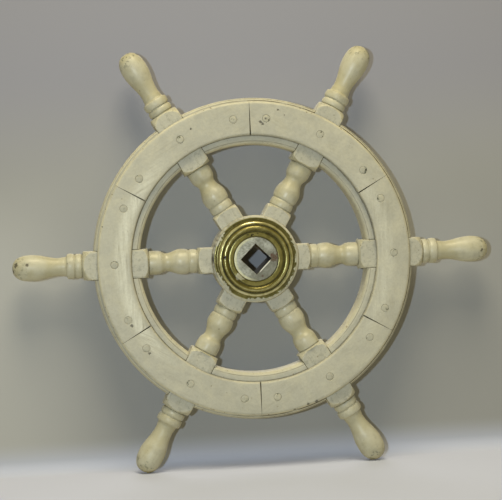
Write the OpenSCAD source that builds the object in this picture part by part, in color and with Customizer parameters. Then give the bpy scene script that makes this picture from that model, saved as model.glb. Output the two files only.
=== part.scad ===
// Six-spoked wooden steering wheel of a small yacht, painted, with a brass hub.
// The wheel lies in the XZ plane, its front faces -Y and its axis is the Y axis.
// The origin is the middle of the hub, on the middle plane of rim and spokes.

/* [Wheel] */
// Diameter over the tips of the handles
overall_d = 614; // [594:1:644]

/* [Rim] */
// Outer diameter of the core felloes
core_outer_d = 410; // [404:1:418]
// Width of the core felloes, from their outer to their inner edge
core_w = 59; // [55:0.5:62]
// Radius that softens the long edges of the core felloes
core_edge_r = 6; // [3:0.5:9]
// How far the front and rear felloes stand back from the outer edge of the core
face_step_out = 5; // [3:0.5:9]
// How far the front and rear felloes stand back from the inner edge of the core
face_step_in = 11; // [8:0.5:15]
// Thickness of the front and rear felloes
face_t = 8; // [6:0.5:11]
// Radius that softens the outer edge of the front and rear felloes
face_outer_edge_r = 4; // [1:0.25:5]
// Radius that softens the inner edge of the front and rear felloes
face_inner_edge_r = 3; // [1:0.25:5]
// Depth of the quirk worked under the edges of the front and rear felloes
quirk_depth = 0.8; // [0.4:0.1:1.5]
// Height of the quirk worked under the edges of the front and rear felloes
quirk_h = 1; // [0.6:0.1:1.6]

/* [Spokes] */
// Width of the square block where a spoke passes through the rim
rim_block_w = 36.5; // [34:0.5:40]
// How far the square face of the rim block stands inside the core felloes
rim_block_in = 9.5; // [8:0.5:14]
// How far the square face of the rim block stands outside the core felloes
rim_block_out = 13; // [10:0.5:16]
// Length of the turned shoulder on the inner end of the rim block
rim_shoulder_l = 7; // [5:0.5:10]
// Length of the turned shoulder on the outer end of the rim block
outer_shoulder_l = 8.5; // [4:0.5:11]
// Width of the square block at the hub
hub_block_w = 33; // [31:0.5:36]
// Length of the hub block that stands clear of the hub
hub_block_l = 16.5; // [12:0.5:20]
// Length of the turned shoulder on the hub block
hub_shoulder_l = 5; // [2:0.5:8]
// Diameter of the bead next to the hub block
inner_bead_d = 30.6; // [29:0.2:32]
// Length of the bead next to the hub block
inner_bead_l = 9.2; // [7:0.1:12]
// Diameter of the swelling between hub and rim
bulb_d = 32.8; // [30:0.2:33]
// Length of the round inner end of the swelling
bulb_rise_l = 10; // [6:0.5:12]
// Diameter of the waist between the swelling and the ring
waist_d = 23; // [20:0.5:26]
// Length of the hollow that rises from the waist to the ring
flare_l = 9.5; // [6:0.5:11]
// Diameter of the ring next to the rim block
ring_d = 30.8; // [29.6:0.2:32]
// How far the middle of the ring swells over its edges
ring_crown = 0.5; // [0.2:0.1:1]
// Length of the ring next to the rim block
ring_l = 12; // [8:0.5:14]
// Width of the turned grooves
groove_l = 1.3; // [0.8:0.1:2]
// Diameter at the bottom of the turned grooves
groove_d = 27.6; // [25:0.2:28]
// Height of the small step that a bead stands on, over the grooves
bead_foot = 0.4; // [0.2:0.1:0.8]
// Height of the small step where the turned shoulder of the rim block starts
shoulder_foot = 1.2; // [0.6:0.1:1.8]
// How far the lathe cuts past the corners and under the faces of a block
block_relief = 0.6; // [0.3:0.1:1]

/* [Handles] */
// Diameter of the bead outside the rim block
outer_bead_d = 31.6; // [29:0.2:33]
// Length of the bead outside the rim block
outer_bead_l = 8; // [5:0.5:10]
// Diameter of the collar at the foot of the handle
collar_d = 32.6; // [31:0.2:34.6]
// Length of the collar at the foot of the handle
collar_l = 9.5; // [6:0.5:12]
// How far the middle of the collar swells over its edges
collar_crown = 1; // [0.4:0.1:1.6]
// Height of the small step from the collar down to the hollow
collar_step = 0.6; // [0.3:0.1:1]
// Length of the hollow between the collar and the neck
handle_hollow_l = 4; // [3:0.5:6]
// Diameter at the start of the neck, where the hollow ends
handle_foot_d = 24.4; // [23.5:0.1:27]
// Smallest diameter of the handle's neck
handle_neck_d = 23; // [20:0.5:25]
// Distance from the collar to the smallest place of the neck
handle_neck_l = 10; // [8:0.5:13]
// Largest diameter of the handle
handle_d = 33.4; // [30:0.2:36]
// Length of the round end beyond the largest place of the handle
handle_end_l = 24; // [20:0.5:30]
// Fullness of the round end: 2 is a plain ellipse, more is blunter
handle_end_full = 2.4; // [2:0.1:3]

/* [Hub core] */
// Diameter of the wooden hub core
hub_core_d = 111; // [108:1:116]
// Thickness of the wooden hub core
hub_core_t = 50; // [44:1:56]
// Radius that softens the edges of the hub core
hub_core_edge_r = 2.5; // [1:0.5:4]
// Depth of the housings that take the spoke blocks, at their middle
housing_depth = 5.5; // [4:0.5:7]
// Diameter of the round tenon on the inner end of a spoke
tenon_d = 20; // [16:1:22]
// Length of the round tenon
tenon_l = 17; // [12:0.5:18]

/* [Brass hub plates] */
// How far the front and rear hub plates stand back from the edge of the hub core
hub_plate_step = 2.8; // [2:0.2:4.4]
// Thickness of the flat flange at the edge of the front plate
flange_t = 2.8; // [2:0.2:4]
// Width of the flat flange
flange_w = 4.6; // [3:0.2:6]
// Height of the convex band inside the flange, over the hub core
band_h = 7.6; // [6.4:0.2:9]
// Width of the convex band
band_w = 4.4; // [3.6:0.2:5]
// Height of the upright step from the flange up to the convex band
band_foot = 1.2; // [0.6:0.1:2]
// Width of the flat rim along the top of the convex band
band_top_w = 0.4; // [0.2:0.1:0.8]
// Height of the raised bead inside the band, over the hub core
bead_h = 11.2; // [10:0.2:13]
// Width of the raised bead
bead_w = 7.6; // [6.4:0.2:8]
// Height of the inner ring round the bush, over the hub core
ring_h = 9.4; // [8.6:0.2:10]
// Width of the grooves between the mouldings
plate_groove_w = 0.7; // [0.4:0.1:1]
// Depth of the grooves between the mouldings
plate_groove_depth = 1.2; // [0.6:0.1:1.8]
// Width of the small chamfers round the front plate and its bore
plate_edge_w = 0.6; // [0.3:0.1:0.8]
// Thickness of the rear hub plate
rear_plate_t = 5; // [4:0.5:8]
// Chamfer round the rear hub plate
rear_plate_chamfer = 1.5; // [0.5:0.25:2.5]

/* [Bush] */
// Outer diameter of the bush through the hub
bush_d = 52; // [50:0.5:53]
// Width of the bush flange that shows in front, outside the bush
bush_flange_w = 2; // [1.5:0.25:2.5]
// Thickness of the bush flange
bush_flange_t = 3.2; // [2.5:0.1:4]
// How far the face of the bush lies below the inner ring of the front plate
bush_sink = 0.4; // [0.1:0.1:0.8]
// Width of the small chamfers of the bush
bush_edge_w = 0.4; // [0.2:0.1:0.6]
// Side of the square socket at the front
socket_front_w = 27.5; // [25:0.25:29]
// Side of the square socket at the rear
socket_rear_w = 30; // [29.5:0.25:32]

/* [Fastenings] */
// Distance of the plugs and screws from the outer edge of the front and rear felloes
plug_inset = 21.5; // [17:0.5:26]
// Diameter of the wooden plugs
plug_d = 9.5; // [8:0.5:11]
// Depth of a plug in the front and rear felloes
plug_depth = 3.2; // [2.6:0.1:3.6]
// Height of the flat dome of a plug over the felloe
plug_dome_h = 0.3; // [0.1:0.1:0.6]
// Width of the chamfer round the dome of a plug
plug_edge_w = 0.6; // [0.3:0.1:1]
// Angle from a felloe joint to the plugs on either side of it
plug_angle = 6.8; // [5:0.2:9]
// Head diameter of the rim screws
screw_head_d = 7.6; // [6.6:0.2:7.8]
// Height of the countersunk head of the rim screws
screw_head_h = 2.1; // [1.6:0.1:2.3]
// Shank diameter of the rim screws
screw_d = 3.8; // [3:0.1:4.6]
// Length of the point of the rim screws
screw_point_l = 3.8; // [2:0.2:6]
// Length of the rim screws in the core
screw_grip_l = 10; // [8:0.5:13]
// Distance of the bolts from the edge of the hub plates
bolt_inset = 11.7; // [9:0.1:13]
// Shank diameter of the hub bolts
bolt_d = 6; // [5:0.5:7]
// Head diameter of the hub bolts
bolt_head_d = 11.5; // [10:0.5:12]
// Height of the countersunk head of the hub bolts
bolt_head_h = 3; // [2.6:0.1:3.4]
// Length of bolt screwed into the front hub plate
bolt_grip_l = 4.5; // [3:0.25:5]
// Width of the screwdriver slots
slot_w = 1.2; // [0.8:0.1:1.8]
// Depth of the screwdriver slots
slot_depth = 0.9; // [0.6:0.1:1.3]

/* [Fits] */
// Open joint between neighbouring felloes of one layer
felloe_gap = 0.4; // [0.2:0.1:0.8]
// Clearance between a spoke block and the core felloes on either side
block_gap = 0.15; // [0.1:0.05:0.3]
// Clearance round a tenon, a bolt or a screw in its hole, on the radius
hole_gap = 0.1; // [0.05:0.05:0.2]
// Clearance round the bush and its flange, on the radius
bush_gap = 0.1; // [0.05:0.05:0.2]
// Clearance under the end of a tenon, a bolt or a screw
end_gap = 1; // [0.6:0.1:1.5]

/* [Hidden] */

$fn = 72;
SPOKES = 6;
STEP = 360 / SPOKES;

PAINT = "ivory";
PAINT_SHADED = "cornsilk";
BRASS = "darkgoldenrod";
STEEL = "silver";

core_outer_r = core_outer_d / 2;
core_inner_r = core_outer_r - core_w;
face_outer_r = core_outer_r - face_step_out;
face_inner_r = core_inner_r + face_step_in;
rim_half = rim_block_w / 2;
face_front = rim_half + face_t;
hub_half = hub_core_t / 2;
hub_core_r = hub_core_d / 2;
hub_plate_r = hub_core_r - hub_plate_step;
bush_flange_r = bush_d / 2 + bush_flange_w;
seat_r = hub_core_r - housing_depth;
plug_r = face_outer_r - plug_inset;
bolt_r = hub_plate_r - bolt_inset;
screw_head_z = face_front - plug_depth;
bush_front_z = hub_half + ring_h - bush_sink;
rear_z = -hub_half - rear_plate_t;

// How far a cutting shape runs past the face that it opens
CUT = 1;
// How far two cutting shapes lap over each other
LAP = 0.01;

// Stations along a spoke, from the middle of the wheel outwards
hub_block_end = hub_core_r + hub_block_l;
inner_bead_x = hub_block_end + groove_l;
bulb_x = inner_bead_x + inner_bead_l + groove_l;
bulb_top_x = bulb_x + bulb_rise_l;
rim_block_start = core_inner_r - rim_block_in;
ring_end_x = rim_block_start - 2 * groove_l;
ring_x = ring_end_x - ring_l;
waist_x = ring_x - flare_l;
rim_block_end = core_outer_r + rim_block_out;
outer_bead_x = rim_block_end + groove_l;
collar_x = outer_bead_x + outer_bead_l + groove_l;
collar_end_x = collar_x + collar_l;
handle_neck_x = collar_end_x + handle_neck_l;
tip_x = overall_d / 2;
handle_top_x = tip_x - handle_end_l;

// Even steps between 0 and 1, without the two ends
function steps(n) = [for (i = [1 : n - 1]) i / n];

// A smooth S-shaped run between two stations and radii
function sweep_between(xa, ra, xb, rb, n) =
    [for (t = steps(n)) [ra + (rb - ra) * (1 - cos(180 * t)) / 2, xa + (xb - xa) * t]];

// A round bead that stands on a groove radius
function bead(x, len, low_r, high_r, n) =
    [for (i = [0 : n])
        let (a = 180 * i / n)
        [low_r + (high_r - low_r) * sin(a), x + len / 2 - len / 2 * cos(a)]];

// A quarter ellipse that rises from low_r to high_r
function round_rise(x, len, low_r, high_r, n) =
    [for (i = [0 : n])
        let (a = 90 * i / n)
        [low_r + (high_r - low_r) * sin(a), x + len - len * cos(a)]];

// A quarter ellipse that falls from high_r to low_r
function round_fall(x, len, high_r, low_r, n) =
    [for (i = [0 : n])
        let (a = 90 * i / n)
        [low_r + (high_r - low_r) * cos(a), x + len * sin(a)]];

// A quarter ellipse that falls steeply first and then runs out along the axis
function hollow_fall(x, len, high_r, low_r, n) =
    [for (i = [0 : n])
        let (a = 90 * i / n)
        [high_r - (high_r - low_r) * sin(a), x + len * (1 - cos(a))]];

// A round end that falls from high_r to the axis, blunter than an ellipse
function full_end(x, len, high_r, fullness, n) =
    [for (i = [0 : n])
        let (a = 90 * i / n)
        [high_r * pow(cos(a), 2 / fullness), x + len * pow(sin(a), 2 / fullness)]];

// Radius that clears the corners of a square block
function corner_r(w) = w * sqrt(2) / 2 + block_relief;

// The outline of a whole spoke as the lathe leaves it: radius, then station
function spoke_profile() = concat(
    [[0, seat_r - tenon_l], [tenon_d / 2, seat_r - tenon_l], [tenon_d / 2, seat_r],
     [corner_r(hub_block_w), seat_r]],
    round_fall(hub_block_end - hub_shoulder_l, hub_shoulder_l,
        corner_r(hub_block_w), hub_block_w / 2 - block_relief, 5),
    [[groove_d / 2, hub_block_end], [groove_d / 2, inner_bead_x]],
    bead(inner_bead_x, inner_bead_l, groove_d / 2 + bead_foot, inner_bead_d / 2, 8),
    [[groove_d / 2, bulb_x - groove_l], [groove_d / 2, bulb_x]],
    round_rise(bulb_x, bulb_rise_l, groove_d / 2 + bead_foot, bulb_d / 2, 5),
    sweep_between(bulb_top_x, bulb_d / 2, waist_x, waist_d / 2, 9),
    [[waist_d / 2, waist_x]],
    sweep_between(waist_x, waist_d / 2, ring_x, ring_d / 2 - ring_crown, 5),
    bead(ring_x, ring_l, ring_d / 2 - ring_crown, ring_d / 2, 4),
    [[groove_d / 2, ring_end_x], [groove_d / 2, ring_end_x + groove_l]],
    [for (i = [0 : 5])
        let (a = 90 * i / 5, foot_r = groove_d / 2 + shoulder_foot)
        [foot_r + (corner_r(rim_block_w) - foot_r) * sin(a),
         ring_end_x + groove_l + rim_shoulder_l * pow(1 - cos(a), 0.8)]],
    round_fall(rim_block_end - outer_shoulder_l, outer_shoulder_l,
        corner_r(rim_block_w), rim_half - block_relief, 6),
    [[groove_d / 2, rim_block_end], [groove_d / 2, outer_bead_x]],
    bead(outer_bead_x, outer_bead_l, groove_d / 2 + bead_foot, outer_bead_d / 2, 6),
    [[groove_d / 2 + bead_foot, collar_x]],
    bead(collar_x, collar_l, collar_d / 2 - collar_crown, collar_d / 2, 6),
    hollow_fall(collar_end_x, handle_hollow_l,
        collar_d / 2 - collar_crown - collar_step, handle_foot_d / 2, 4),
    sweep_between(collar_end_x + handle_hollow_l, handle_foot_d / 2,
        handle_neck_x, handle_neck_d / 2, 3),
    [[handle_neck_d / 2, handle_neck_x]],
    sweep_between(handle_neck_x, handle_neck_d / 2, handle_top_x, handle_d / 2, 10),
    full_end(handle_top_x, handle_end_l, handle_d / 2, handle_end_full, 10)
);

// Turns a shape whose front is +Z so that its front faces -Y
module upright() {
    rotate([90, 0, 0]) children();
}

// Turns the front of a shape to the rear
module to_rear() {
    rotate([180, 0, 0]) children();
}

// Places a shape at each spoke
module each_spoke() {
    for (i = [0 : SPOKES - 1]) rotate([0, 0, i * STEP]) children();
}

// Places a shape at the three plugs of one felloe whose middle lies on the X axis
module at_felloe_plugs() {
    for (a = [-STEP / 2 + plug_angle, 0, STEP / 2 - plug_angle])
        rotate([0, 0, a]) translate([plug_r, 0, 0]) children();
}

// Places a shape at each bolt of the hub
module at_bolts() {
    for (i = [0 : SPOKES - 1])
        rotate([0, 0, (i + 0.5) * STEP]) translate([bolt_r, 0, 0]) children();
}

// Cross-section of a front felloe, softened at its two visible edges
function face_section() =
    let (ri = face_inner_r, ro = face_outer_r, z = rim_half,
        eo = face_outer_edge_r, ei = face_inner_edge_r)
    concat(
        [[ri + quirk_depth, z], [ro - quirk_depth, z],
         [ro - quirk_depth, z + quirk_h], [ro, z + quirk_h]],
        [for (i = [0 : 5]) let (a = 90 * i / 5)
            [ro - eo + eo * cos(a), face_front - eo + eo * sin(a)]],
        [for (i = [0 : 5]) let (a = 90 * i / 5)
            [ri + ei - ei * sin(a), face_front - ei + ei * cos(a)]],
        [[ri, z + quirk_h], [ri + quirk_depth, z + quirk_h]]
    );

// Cross-section of a core felloe, rounded at its four long edges
function core_section() =
    let (ri = core_inner_r, ro = core_outer_r, z = rim_half, e = core_edge_r)
    concat(
        [for (i = [0 : 6]) let (a = 90 * i / 6) [ro - e + e * cos(a), z - e + e * sin(a)]],
        [for (i = [0 : 6]) let (a = 90 * i / 6) [ri + e - e * sin(a), z - e + e * cos(a)]],
        [for (i = [0 : 6]) let (a = 90 * i / 6) [ri + e - e * cos(a), -z + e - e * sin(a)]],
        [for (i = [0 : 6]) let (a = 90 * i / 6) [ro - e + e * sin(a), -z + e - e * cos(a)]]
    );

// The hole of a rim screw in the core or a spoke block, seen from the front
module pilot_hole() {
    translate([0, 0, rim_half - screw_grip_l - end_gap])
        cylinder(d = screw_d + 2 * hole_gap, h = screw_grip_l + end_gap + CUT);
}

// The counterbore and countersink of a rim screw in a front felloe
module plug_hole() {
    translate([0, 0, screw_head_z])
        cylinder(d = plug_d + 2 * hole_gap, h = plug_depth + CUT);
    translate([0, 0, screw_head_z - screw_head_h])
        cylinder(d1 = screw_d + 2 * hole_gap, d2 = screw_head_d + 2 * hole_gap,
            h = screw_head_h + LAP);
    translate([0, 0, rim_half - CUT])
        cylinder(d = screw_d + 2 * hole_gap, h = face_t);
}

// A countersunk slotted wood screw of the rim, seen from the front
module rim_screw() {
    difference() {
        rotate_extrude()
            polygon([[0, rim_half - screw_grip_l],
                [screw_d / 2, rim_half - screw_grip_l + screw_point_l],
                [screw_d / 2, screw_head_z - screw_head_h],
                [screw_head_d / 2, screw_head_z],
                [0, screw_head_z]]);
        translate([-screw_head_d, -slot_w / 2, screw_head_z - slot_depth])
            cube([2 * screw_head_d, slot_w, slot_depth + CUT]);
    }
}

// A wooden plug that hides a rim screw
module plug() {
    rotate_extrude()
        polygon([[0, screw_head_z], [plug_d / 2, screw_head_z], [plug_d / 2, face_front],
            [plug_d / 2 - plug_edge_w, face_front + plug_dome_h], [0, face_front + plug_dome_h]]);
}

// Spoke number n, turned from a square blank, with its tenon at the hub
module spoke(n) {
    color(PAINT) upright() rotate([0, 0, (n - 1) * STEP])
        difference() {
            intersection() {
                rotate([0, 90, 0]) rotate_extrude() polygon(spoke_profile());
                union() {
                    translate([0, -hub_block_w / 2, -hub_block_w / 2])
                        cube([waist_x, hub_block_w, hub_block_w]);
                    translate([waist_x - CUT, -rim_half, -rim_half])
                        cube([tip_x - waist_x + 2 * CUT, rim_block_w, rim_block_w]);
                }
            }
            translate([plug_r, 0, 0]) pilot_hole();
            to_rear() translate([plug_r, 0, 0]) pilot_hole();
        }
}

// Core felloe number n, which fills the rim from spoke n to the next one
module core_felloe(n) {
    slot_half = rim_half + block_gap;
    color(PAINT_SHADED) upright() rotate([0, 0, (n - 0.5) * STEP])
        difference() {
            rotate([0, 0, -STEP / 2]) rotate_extrude(angle = STEP) polygon(core_section());
            for (side = [-1, 1])
                rotate([0, 0, side * STEP / 2])
                    translate([0, -slot_half, -rim_block_w])
                        cube([core_outer_r + CUT, 2 * slot_half, 2 * rim_block_w]);
            for (side = [-1, 1])
                rotate([0, 0, side * plug_angle]) {
                    translate([plug_r, 0, 0]) pilot_hole();
                    to_rear() translate([plug_r, 0, 0]) pilot_hole();
                }
        }
}

// One felloe of the front layer, centred on the X axis
module face_felloe() {
    gap_a = felloe_gap / plug_r * 180 / PI;
    difference() {
        rotate([0, 0, -STEP / 2 + gap_a / 2])
            rotate_extrude(angle = STEP - gap_a) polygon(face_section());
        at_felloe_plugs() plug_hole();
    }
}

// Front felloe number n, centred on spoke n
module front_felloe(n) {
    color(PAINT) upright() rotate([0, 0, (n - 1) * STEP]) face_felloe();
}

// Rear felloe number n, centred on spoke n
module rear_felloe(n) {
    color(PAINT) upright() rotate([0, 0, (n - 1) * STEP]) to_rear() face_felloe();
}

// All plugs of the front
module front_plugs() {
    color(PAINT_SHADED) upright() each_spoke() at_felloe_plugs() plug();
}

// All plugs of the rear
module rear_plugs() {
    color(PAINT_SHADED) upright() each_spoke() to_rear() at_felloe_plugs() plug();
}

// All screws under the front plugs
module front_screws() {
    color(BRASS) upright() each_spoke() at_felloe_plugs() rim_screw();
}

// All screws under the rear plugs
module rear_screws() {
    color(BRASS) upright() each_spoke() to_rear() at_felloe_plugs() rim_screw();
}

// The wooden hub core with its housings, mortises, bore and bolt holes
module hub_core() {
    e = hub_core_edge_r;
    housing_w = hub_block_w + 2 * block_gap;
    color(PAINT) upright()
        difference() {
            rotate_extrude()
                polygon(concat(
                    [[bush_d / 2 + bush_gap, -hub_half]],
                    [for (i = [0 : 4]) let (a = 90 * i / 4)
                        [hub_core_r - e + e * sin(a), -hub_half + e - e * cos(a)]],
                    [for (i = [0 : 4]) let (a = 90 * i / 4)
                        [hub_core_r - e + e * cos(a), hub_half - e + e * sin(a)]],
                    [[bush_d / 2 + bush_gap, hub_half]]));
            each_spoke() {
                translate([seat_r, -housing_w / 2, -housing_w / 2])
                    cube([hub_core_r, housing_w, housing_w]);
                translate([seat_r - tenon_l - end_gap, 0, 0]) rotate([0, 90, 0])
                    cylinder(d = tenon_d + 2 * hole_gap, h = tenon_l + end_gap + CUT);
            }
            at_bolts() translate([0, 0, -hub_half - CUT])
                cylinder(d = bolt_d + 2 * hole_gap, h = hub_core_t + 2 * CUT);
        }
}

// The moulded outline of the front hub plate: radius, then height over the hub core
function front_plate_section() =
    let (
        ro = hub_plate_r,
        flange_in = ro - flange_w,
        band_in = flange_in - band_w,
        bead_out = band_in - plate_groove_w,
        bead_in = bead_out - bead_w,
        bead_mid = (bead_out + bead_in) / 2,
        ring_out = bead_in - plate_groove_w,
        band_foot_z = flange_t + band_foot,
        outer_low = band_h - plate_groove_depth,
        inner_low = ring_h - plate_groove_depth,
        bore = bush_d / 2 + bush_gap,
        recess = bush_flange_r + bush_gap,
        recess_h = bush_front_z - hub_half - bush_flange_t
    )
    concat(
        [[bore, 0], [ro, 0], [ro, flange_t - plate_edge_w], [ro - plate_edge_w, flange_t],
         [flange_in, flange_t], [flange_in, band_foot_z]],
        [for (i = [1 : 6]) let (a = 90 * i / 6)
            [flange_in - (band_w - band_top_w) * (1 - cos(a)),
             band_foot_z + (band_h - band_foot_z) * sin(a)]],
        [[band_in, outer_low], [bead_out, outer_low]],
        [for (i = [1 : 6]) let (a = 90 * i / 6)
            [bead_mid + bead_w / 2 * cos(a), outer_low + (bead_h - outer_low) * sin(a)]],
        [for (i = [1 : 6]) let (a = 90 * i / 6)
            [bead_mid - bead_w / 2 * sin(a), inner_low + (bead_h - inner_low) * cos(a)]],
        [[ring_out, inner_low], [ring_out - plate_edge_w, ring_h],
         [recess + plate_edge_w, ring_h], [recess, ring_h - plate_edge_w],
         [recess, recess_h], [bore, recess_h]]
    );

// The moulded brass plate on the front of the hub
module front_hub_plate() {
    color(BRASS) upright() translate([0, 0, hub_half])
        difference() {
            rotate_extrude() polygon(front_plate_section());
            at_bolts() translate([0, 0, -CUT])
                cylinder(d = bolt_d + 2 * hole_gap, h = bolt_grip_l + end_gap + CUT);
        }
}

// The plain brass plate on the back of the hub, countersunk for the bolts
module rear_hub_plate() {
    ri = bush_d / 2 + bush_gap;
    ro = hub_plate_r;
    c = rear_plate_chamfer;
    color(BRASS) upright()
        difference() {
            rotate_extrude()
                polygon([[ri, rear_z], [ro - c, rear_z], [ro, rear_z + c],
                    [ro, -hub_half], [ri, -hub_half]]);
            at_bolts() {
                translate([0, 0, rear_z - CUT])
                    cylinder(d = bolt_d + 2 * hole_gap, h = rear_plate_t + 2 * CUT);
                translate([0, 0, rear_z - LAP])
                    cylinder(d1 = bolt_head_d + 2 * hole_gap, d2 = bolt_d + 2 * hole_gap,
                        h = bolt_head_h);
            }
        }
}

// The countersunk slotted bolts that draw the two hub plates together
module hub_bolts() {
    color(BRASS) upright() at_bolts()
        difference() {
            rotate_extrude()
                polygon([[0, rear_z], [bolt_head_d / 2, rear_z],
                    [bolt_d / 2, rear_z + bolt_head_h],
                    [bolt_d / 2, hub_half + bolt_grip_l], [0, hub_half + bolt_grip_l]]);
            translate([-bolt_head_d, -slot_w / 2, rear_z - CUT])
                cube([2 * bolt_head_d, slot_w, slot_depth + CUT]);
        }
}

// The tapered square socket through the bush, wider at the rear
module socket_cut() {
    depth = bush_front_z - rear_z;
    taper = (socket_rear_w - socket_front_w) / depth;
    front_w = (socket_front_w - taper * CUT) / sqrt(2);
    rear_w = (socket_rear_w + taper * CUT) / sqrt(2);
    polyhedron(
        points = [[rear_w, 0, rear_z - CUT], [0, rear_w, rear_z - CUT],
            [-rear_w, 0, rear_z - CUT], [0, -rear_w, rear_z - CUT],
            [front_w, 0, bush_front_z + CUT], [0, front_w, bush_front_z + CUT],
            [-front_w, 0, bush_front_z + CUT], [0, -front_w, bush_front_z + CUT]],
        faces = [[0, 1, 2, 3], [7, 6, 5, 4], [0, 4, 5, 1], [1, 5, 6, 2], [2, 6, 7, 3], [3, 7, 4, 0]]);
}

// The grey metal bush that carries the square socket for the shaft
module hub_bush() {
    fr = bush_flange_r;
    r = bush_d / 2;
    e = bush_edge_w;
    color(STEEL) upright()
        difference() {
            rotate_extrude()
                polygon([[0, rear_z], [r - e, rear_z], [r, rear_z + e],
                    [r, bush_front_z - bush_flange_t], [fr, bush_front_z - bush_flange_t],
                    [fr, bush_front_z - e], [fr - e, bush_front_z], [0, bush_front_z]]);
            socket_cut();
        }
}

hub_core();
front_hub_plate();
rear_hub_plate();
hub_bush();
hub_bolts();
spoke(1);  // spoke_1
spoke(2);  // spoke_2
spoke(3);  // spoke_3
spoke(4);  // spoke_4
spoke(5);  // spoke_5
spoke(6);  // spoke_6
core_felloe(1);  // core_felloe_1
core_felloe(2);  // core_felloe_2
core_felloe(3);  // core_felloe_3
core_felloe(4);  // core_felloe_4
core_felloe(5);  // core_felloe_5
core_felloe(6);  // core_felloe_6
front_felloe(1);  // front_felloe_1
front_felloe(2);  // front_felloe_2
front_felloe(3);  // front_felloe_3
front_felloe(4);  // front_felloe_4
front_felloe(5);  // front_felloe_5
front_felloe(6);  // front_felloe_6
rear_felloe(1);  // rear_felloe_1
rear_felloe(2);  // rear_felloe_2
rear_felloe(3);  // rear_felloe_3
rear_felloe(4);  // rear_felloe_4
rear_felloe(5);  // rear_felloe_5
rear_felloe(6);  // rear_felloe_6
front_plugs();
rear_plugs();
front_screws();
rear_screws();
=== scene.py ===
"""Dresses the frame of a six-spoked wooden steering wheel with its painted wood and old brass."""
import logging
import math
import random
from dataclasses import dataclass, field
from enum import Enum
from typing import Callable, Optional

import bmesh
import bpy
from mathutils import Matrix, Vector


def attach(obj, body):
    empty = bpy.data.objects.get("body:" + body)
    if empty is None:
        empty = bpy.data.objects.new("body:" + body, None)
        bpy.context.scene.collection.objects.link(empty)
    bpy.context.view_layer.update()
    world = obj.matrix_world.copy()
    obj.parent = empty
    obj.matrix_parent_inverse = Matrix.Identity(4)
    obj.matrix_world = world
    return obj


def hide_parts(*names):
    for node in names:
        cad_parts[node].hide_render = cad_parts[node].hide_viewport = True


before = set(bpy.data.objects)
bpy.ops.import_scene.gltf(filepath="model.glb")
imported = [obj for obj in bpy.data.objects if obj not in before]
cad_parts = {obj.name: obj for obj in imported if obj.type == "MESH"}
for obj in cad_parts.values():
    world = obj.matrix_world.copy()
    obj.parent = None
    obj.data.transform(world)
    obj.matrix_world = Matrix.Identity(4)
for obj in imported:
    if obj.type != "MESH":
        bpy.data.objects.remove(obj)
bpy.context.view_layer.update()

LOG = logging.getLogger("wheel")
MM = 0.001
SPOKES = 6
STEP = math.radians(360 / SPOKES)
PHOTO_W = 502


class Slot(Enum):
    """Material slots of the pieces that are built here."""

    PAINT = "painted_wood"
    PLUG = "plug_wood"
    BRASS = "hub_brass"
    BUSH = "bush_metal"
    BOLT = "bolt_brass"


class Face(Enum):
    """Which way a layer of the wheel looks."""

    FRONT = "front"
    REAR = "rear"

    def over(self) -> Matrix:
        """Turns a piece that is made for the front over to this face."""
        return Matrix.Rotation(math.pi, 4, "X") if self is Face.REAR else Matrix.Identity(4)


def to_spoke(count: float) -> Matrix:
    """The turn about the wheel's axis, from +X towards +Z, past a number of spokes."""
    return Matrix.Rotation(-count * STEP, 4, "Y")


def wheel_r(co: Vector) -> float:
    """Distance of a place from the wheel's axis, in mm."""
    return math.hypot(co.x, co.z) / MM


# Mesh tools

def only(obj: bpy.types.Object) -> None:
    """Leaves one object selected and active, in object mode."""
    if bpy.context.object and bpy.context.object.mode != "OBJECT":
        bpy.ops.object.mode_set(mode="OBJECT")
    bpy.ops.object.select_all(action="DESELECT")
    obj.select_set(True)
    bpy.context.view_layer.objects.active = obj


def edit(obj: bpy.types.Object, whole: bool = False) -> None:
    """Opens one object in edit mode, with all of it selected or nothing."""
    only(obj)
    bpy.ops.object.mode_set(mode="EDIT")
    bpy.ops.mesh.select_all(action="SELECT" if whole else "DESELECT")


def named(obj: bpy.types.Object, name: str) -> bpy.types.Object:
    """Names an object and its mesh."""
    obj.name = name
    obj.data.name = name
    return obj


def pick(obj: bpy.types.Object, test: Callable[[Vector], bool], kind: str = "EDGE") -> None:
    """Selects the edges or faces whose vertices all pass.

    Args:
        obj: The object, open in edit mode.
        test: Says whether a place in metres passes.
        kind: EDGE or FACE.
    """
    bpy.ops.mesh.select_all(action="DESELECT")
    bpy.ops.mesh.select_mode(type=kind)
    mesh = bmesh.from_edit_mesh(obj.data)
    for item in mesh.edges if kind == "EDGE" else mesh.faces:
        if all(test(vert.co) for vert in item.verts):
            item.select_set(True)
    mesh.select_flush_mode()
    bmesh.update_edit_mesh(obj.data)


def soften(obj: bpy.types.Object, test: Callable[[Vector], bool], width: float) -> None:
    """Bevels the edges whose vertices all pass, by a width in mm."""
    edit(obj)
    pick(obj, test)
    bpy.ops.mesh.bevel(offset=width * MM, segments=2, affect="EDGES")
    only(obj)


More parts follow.
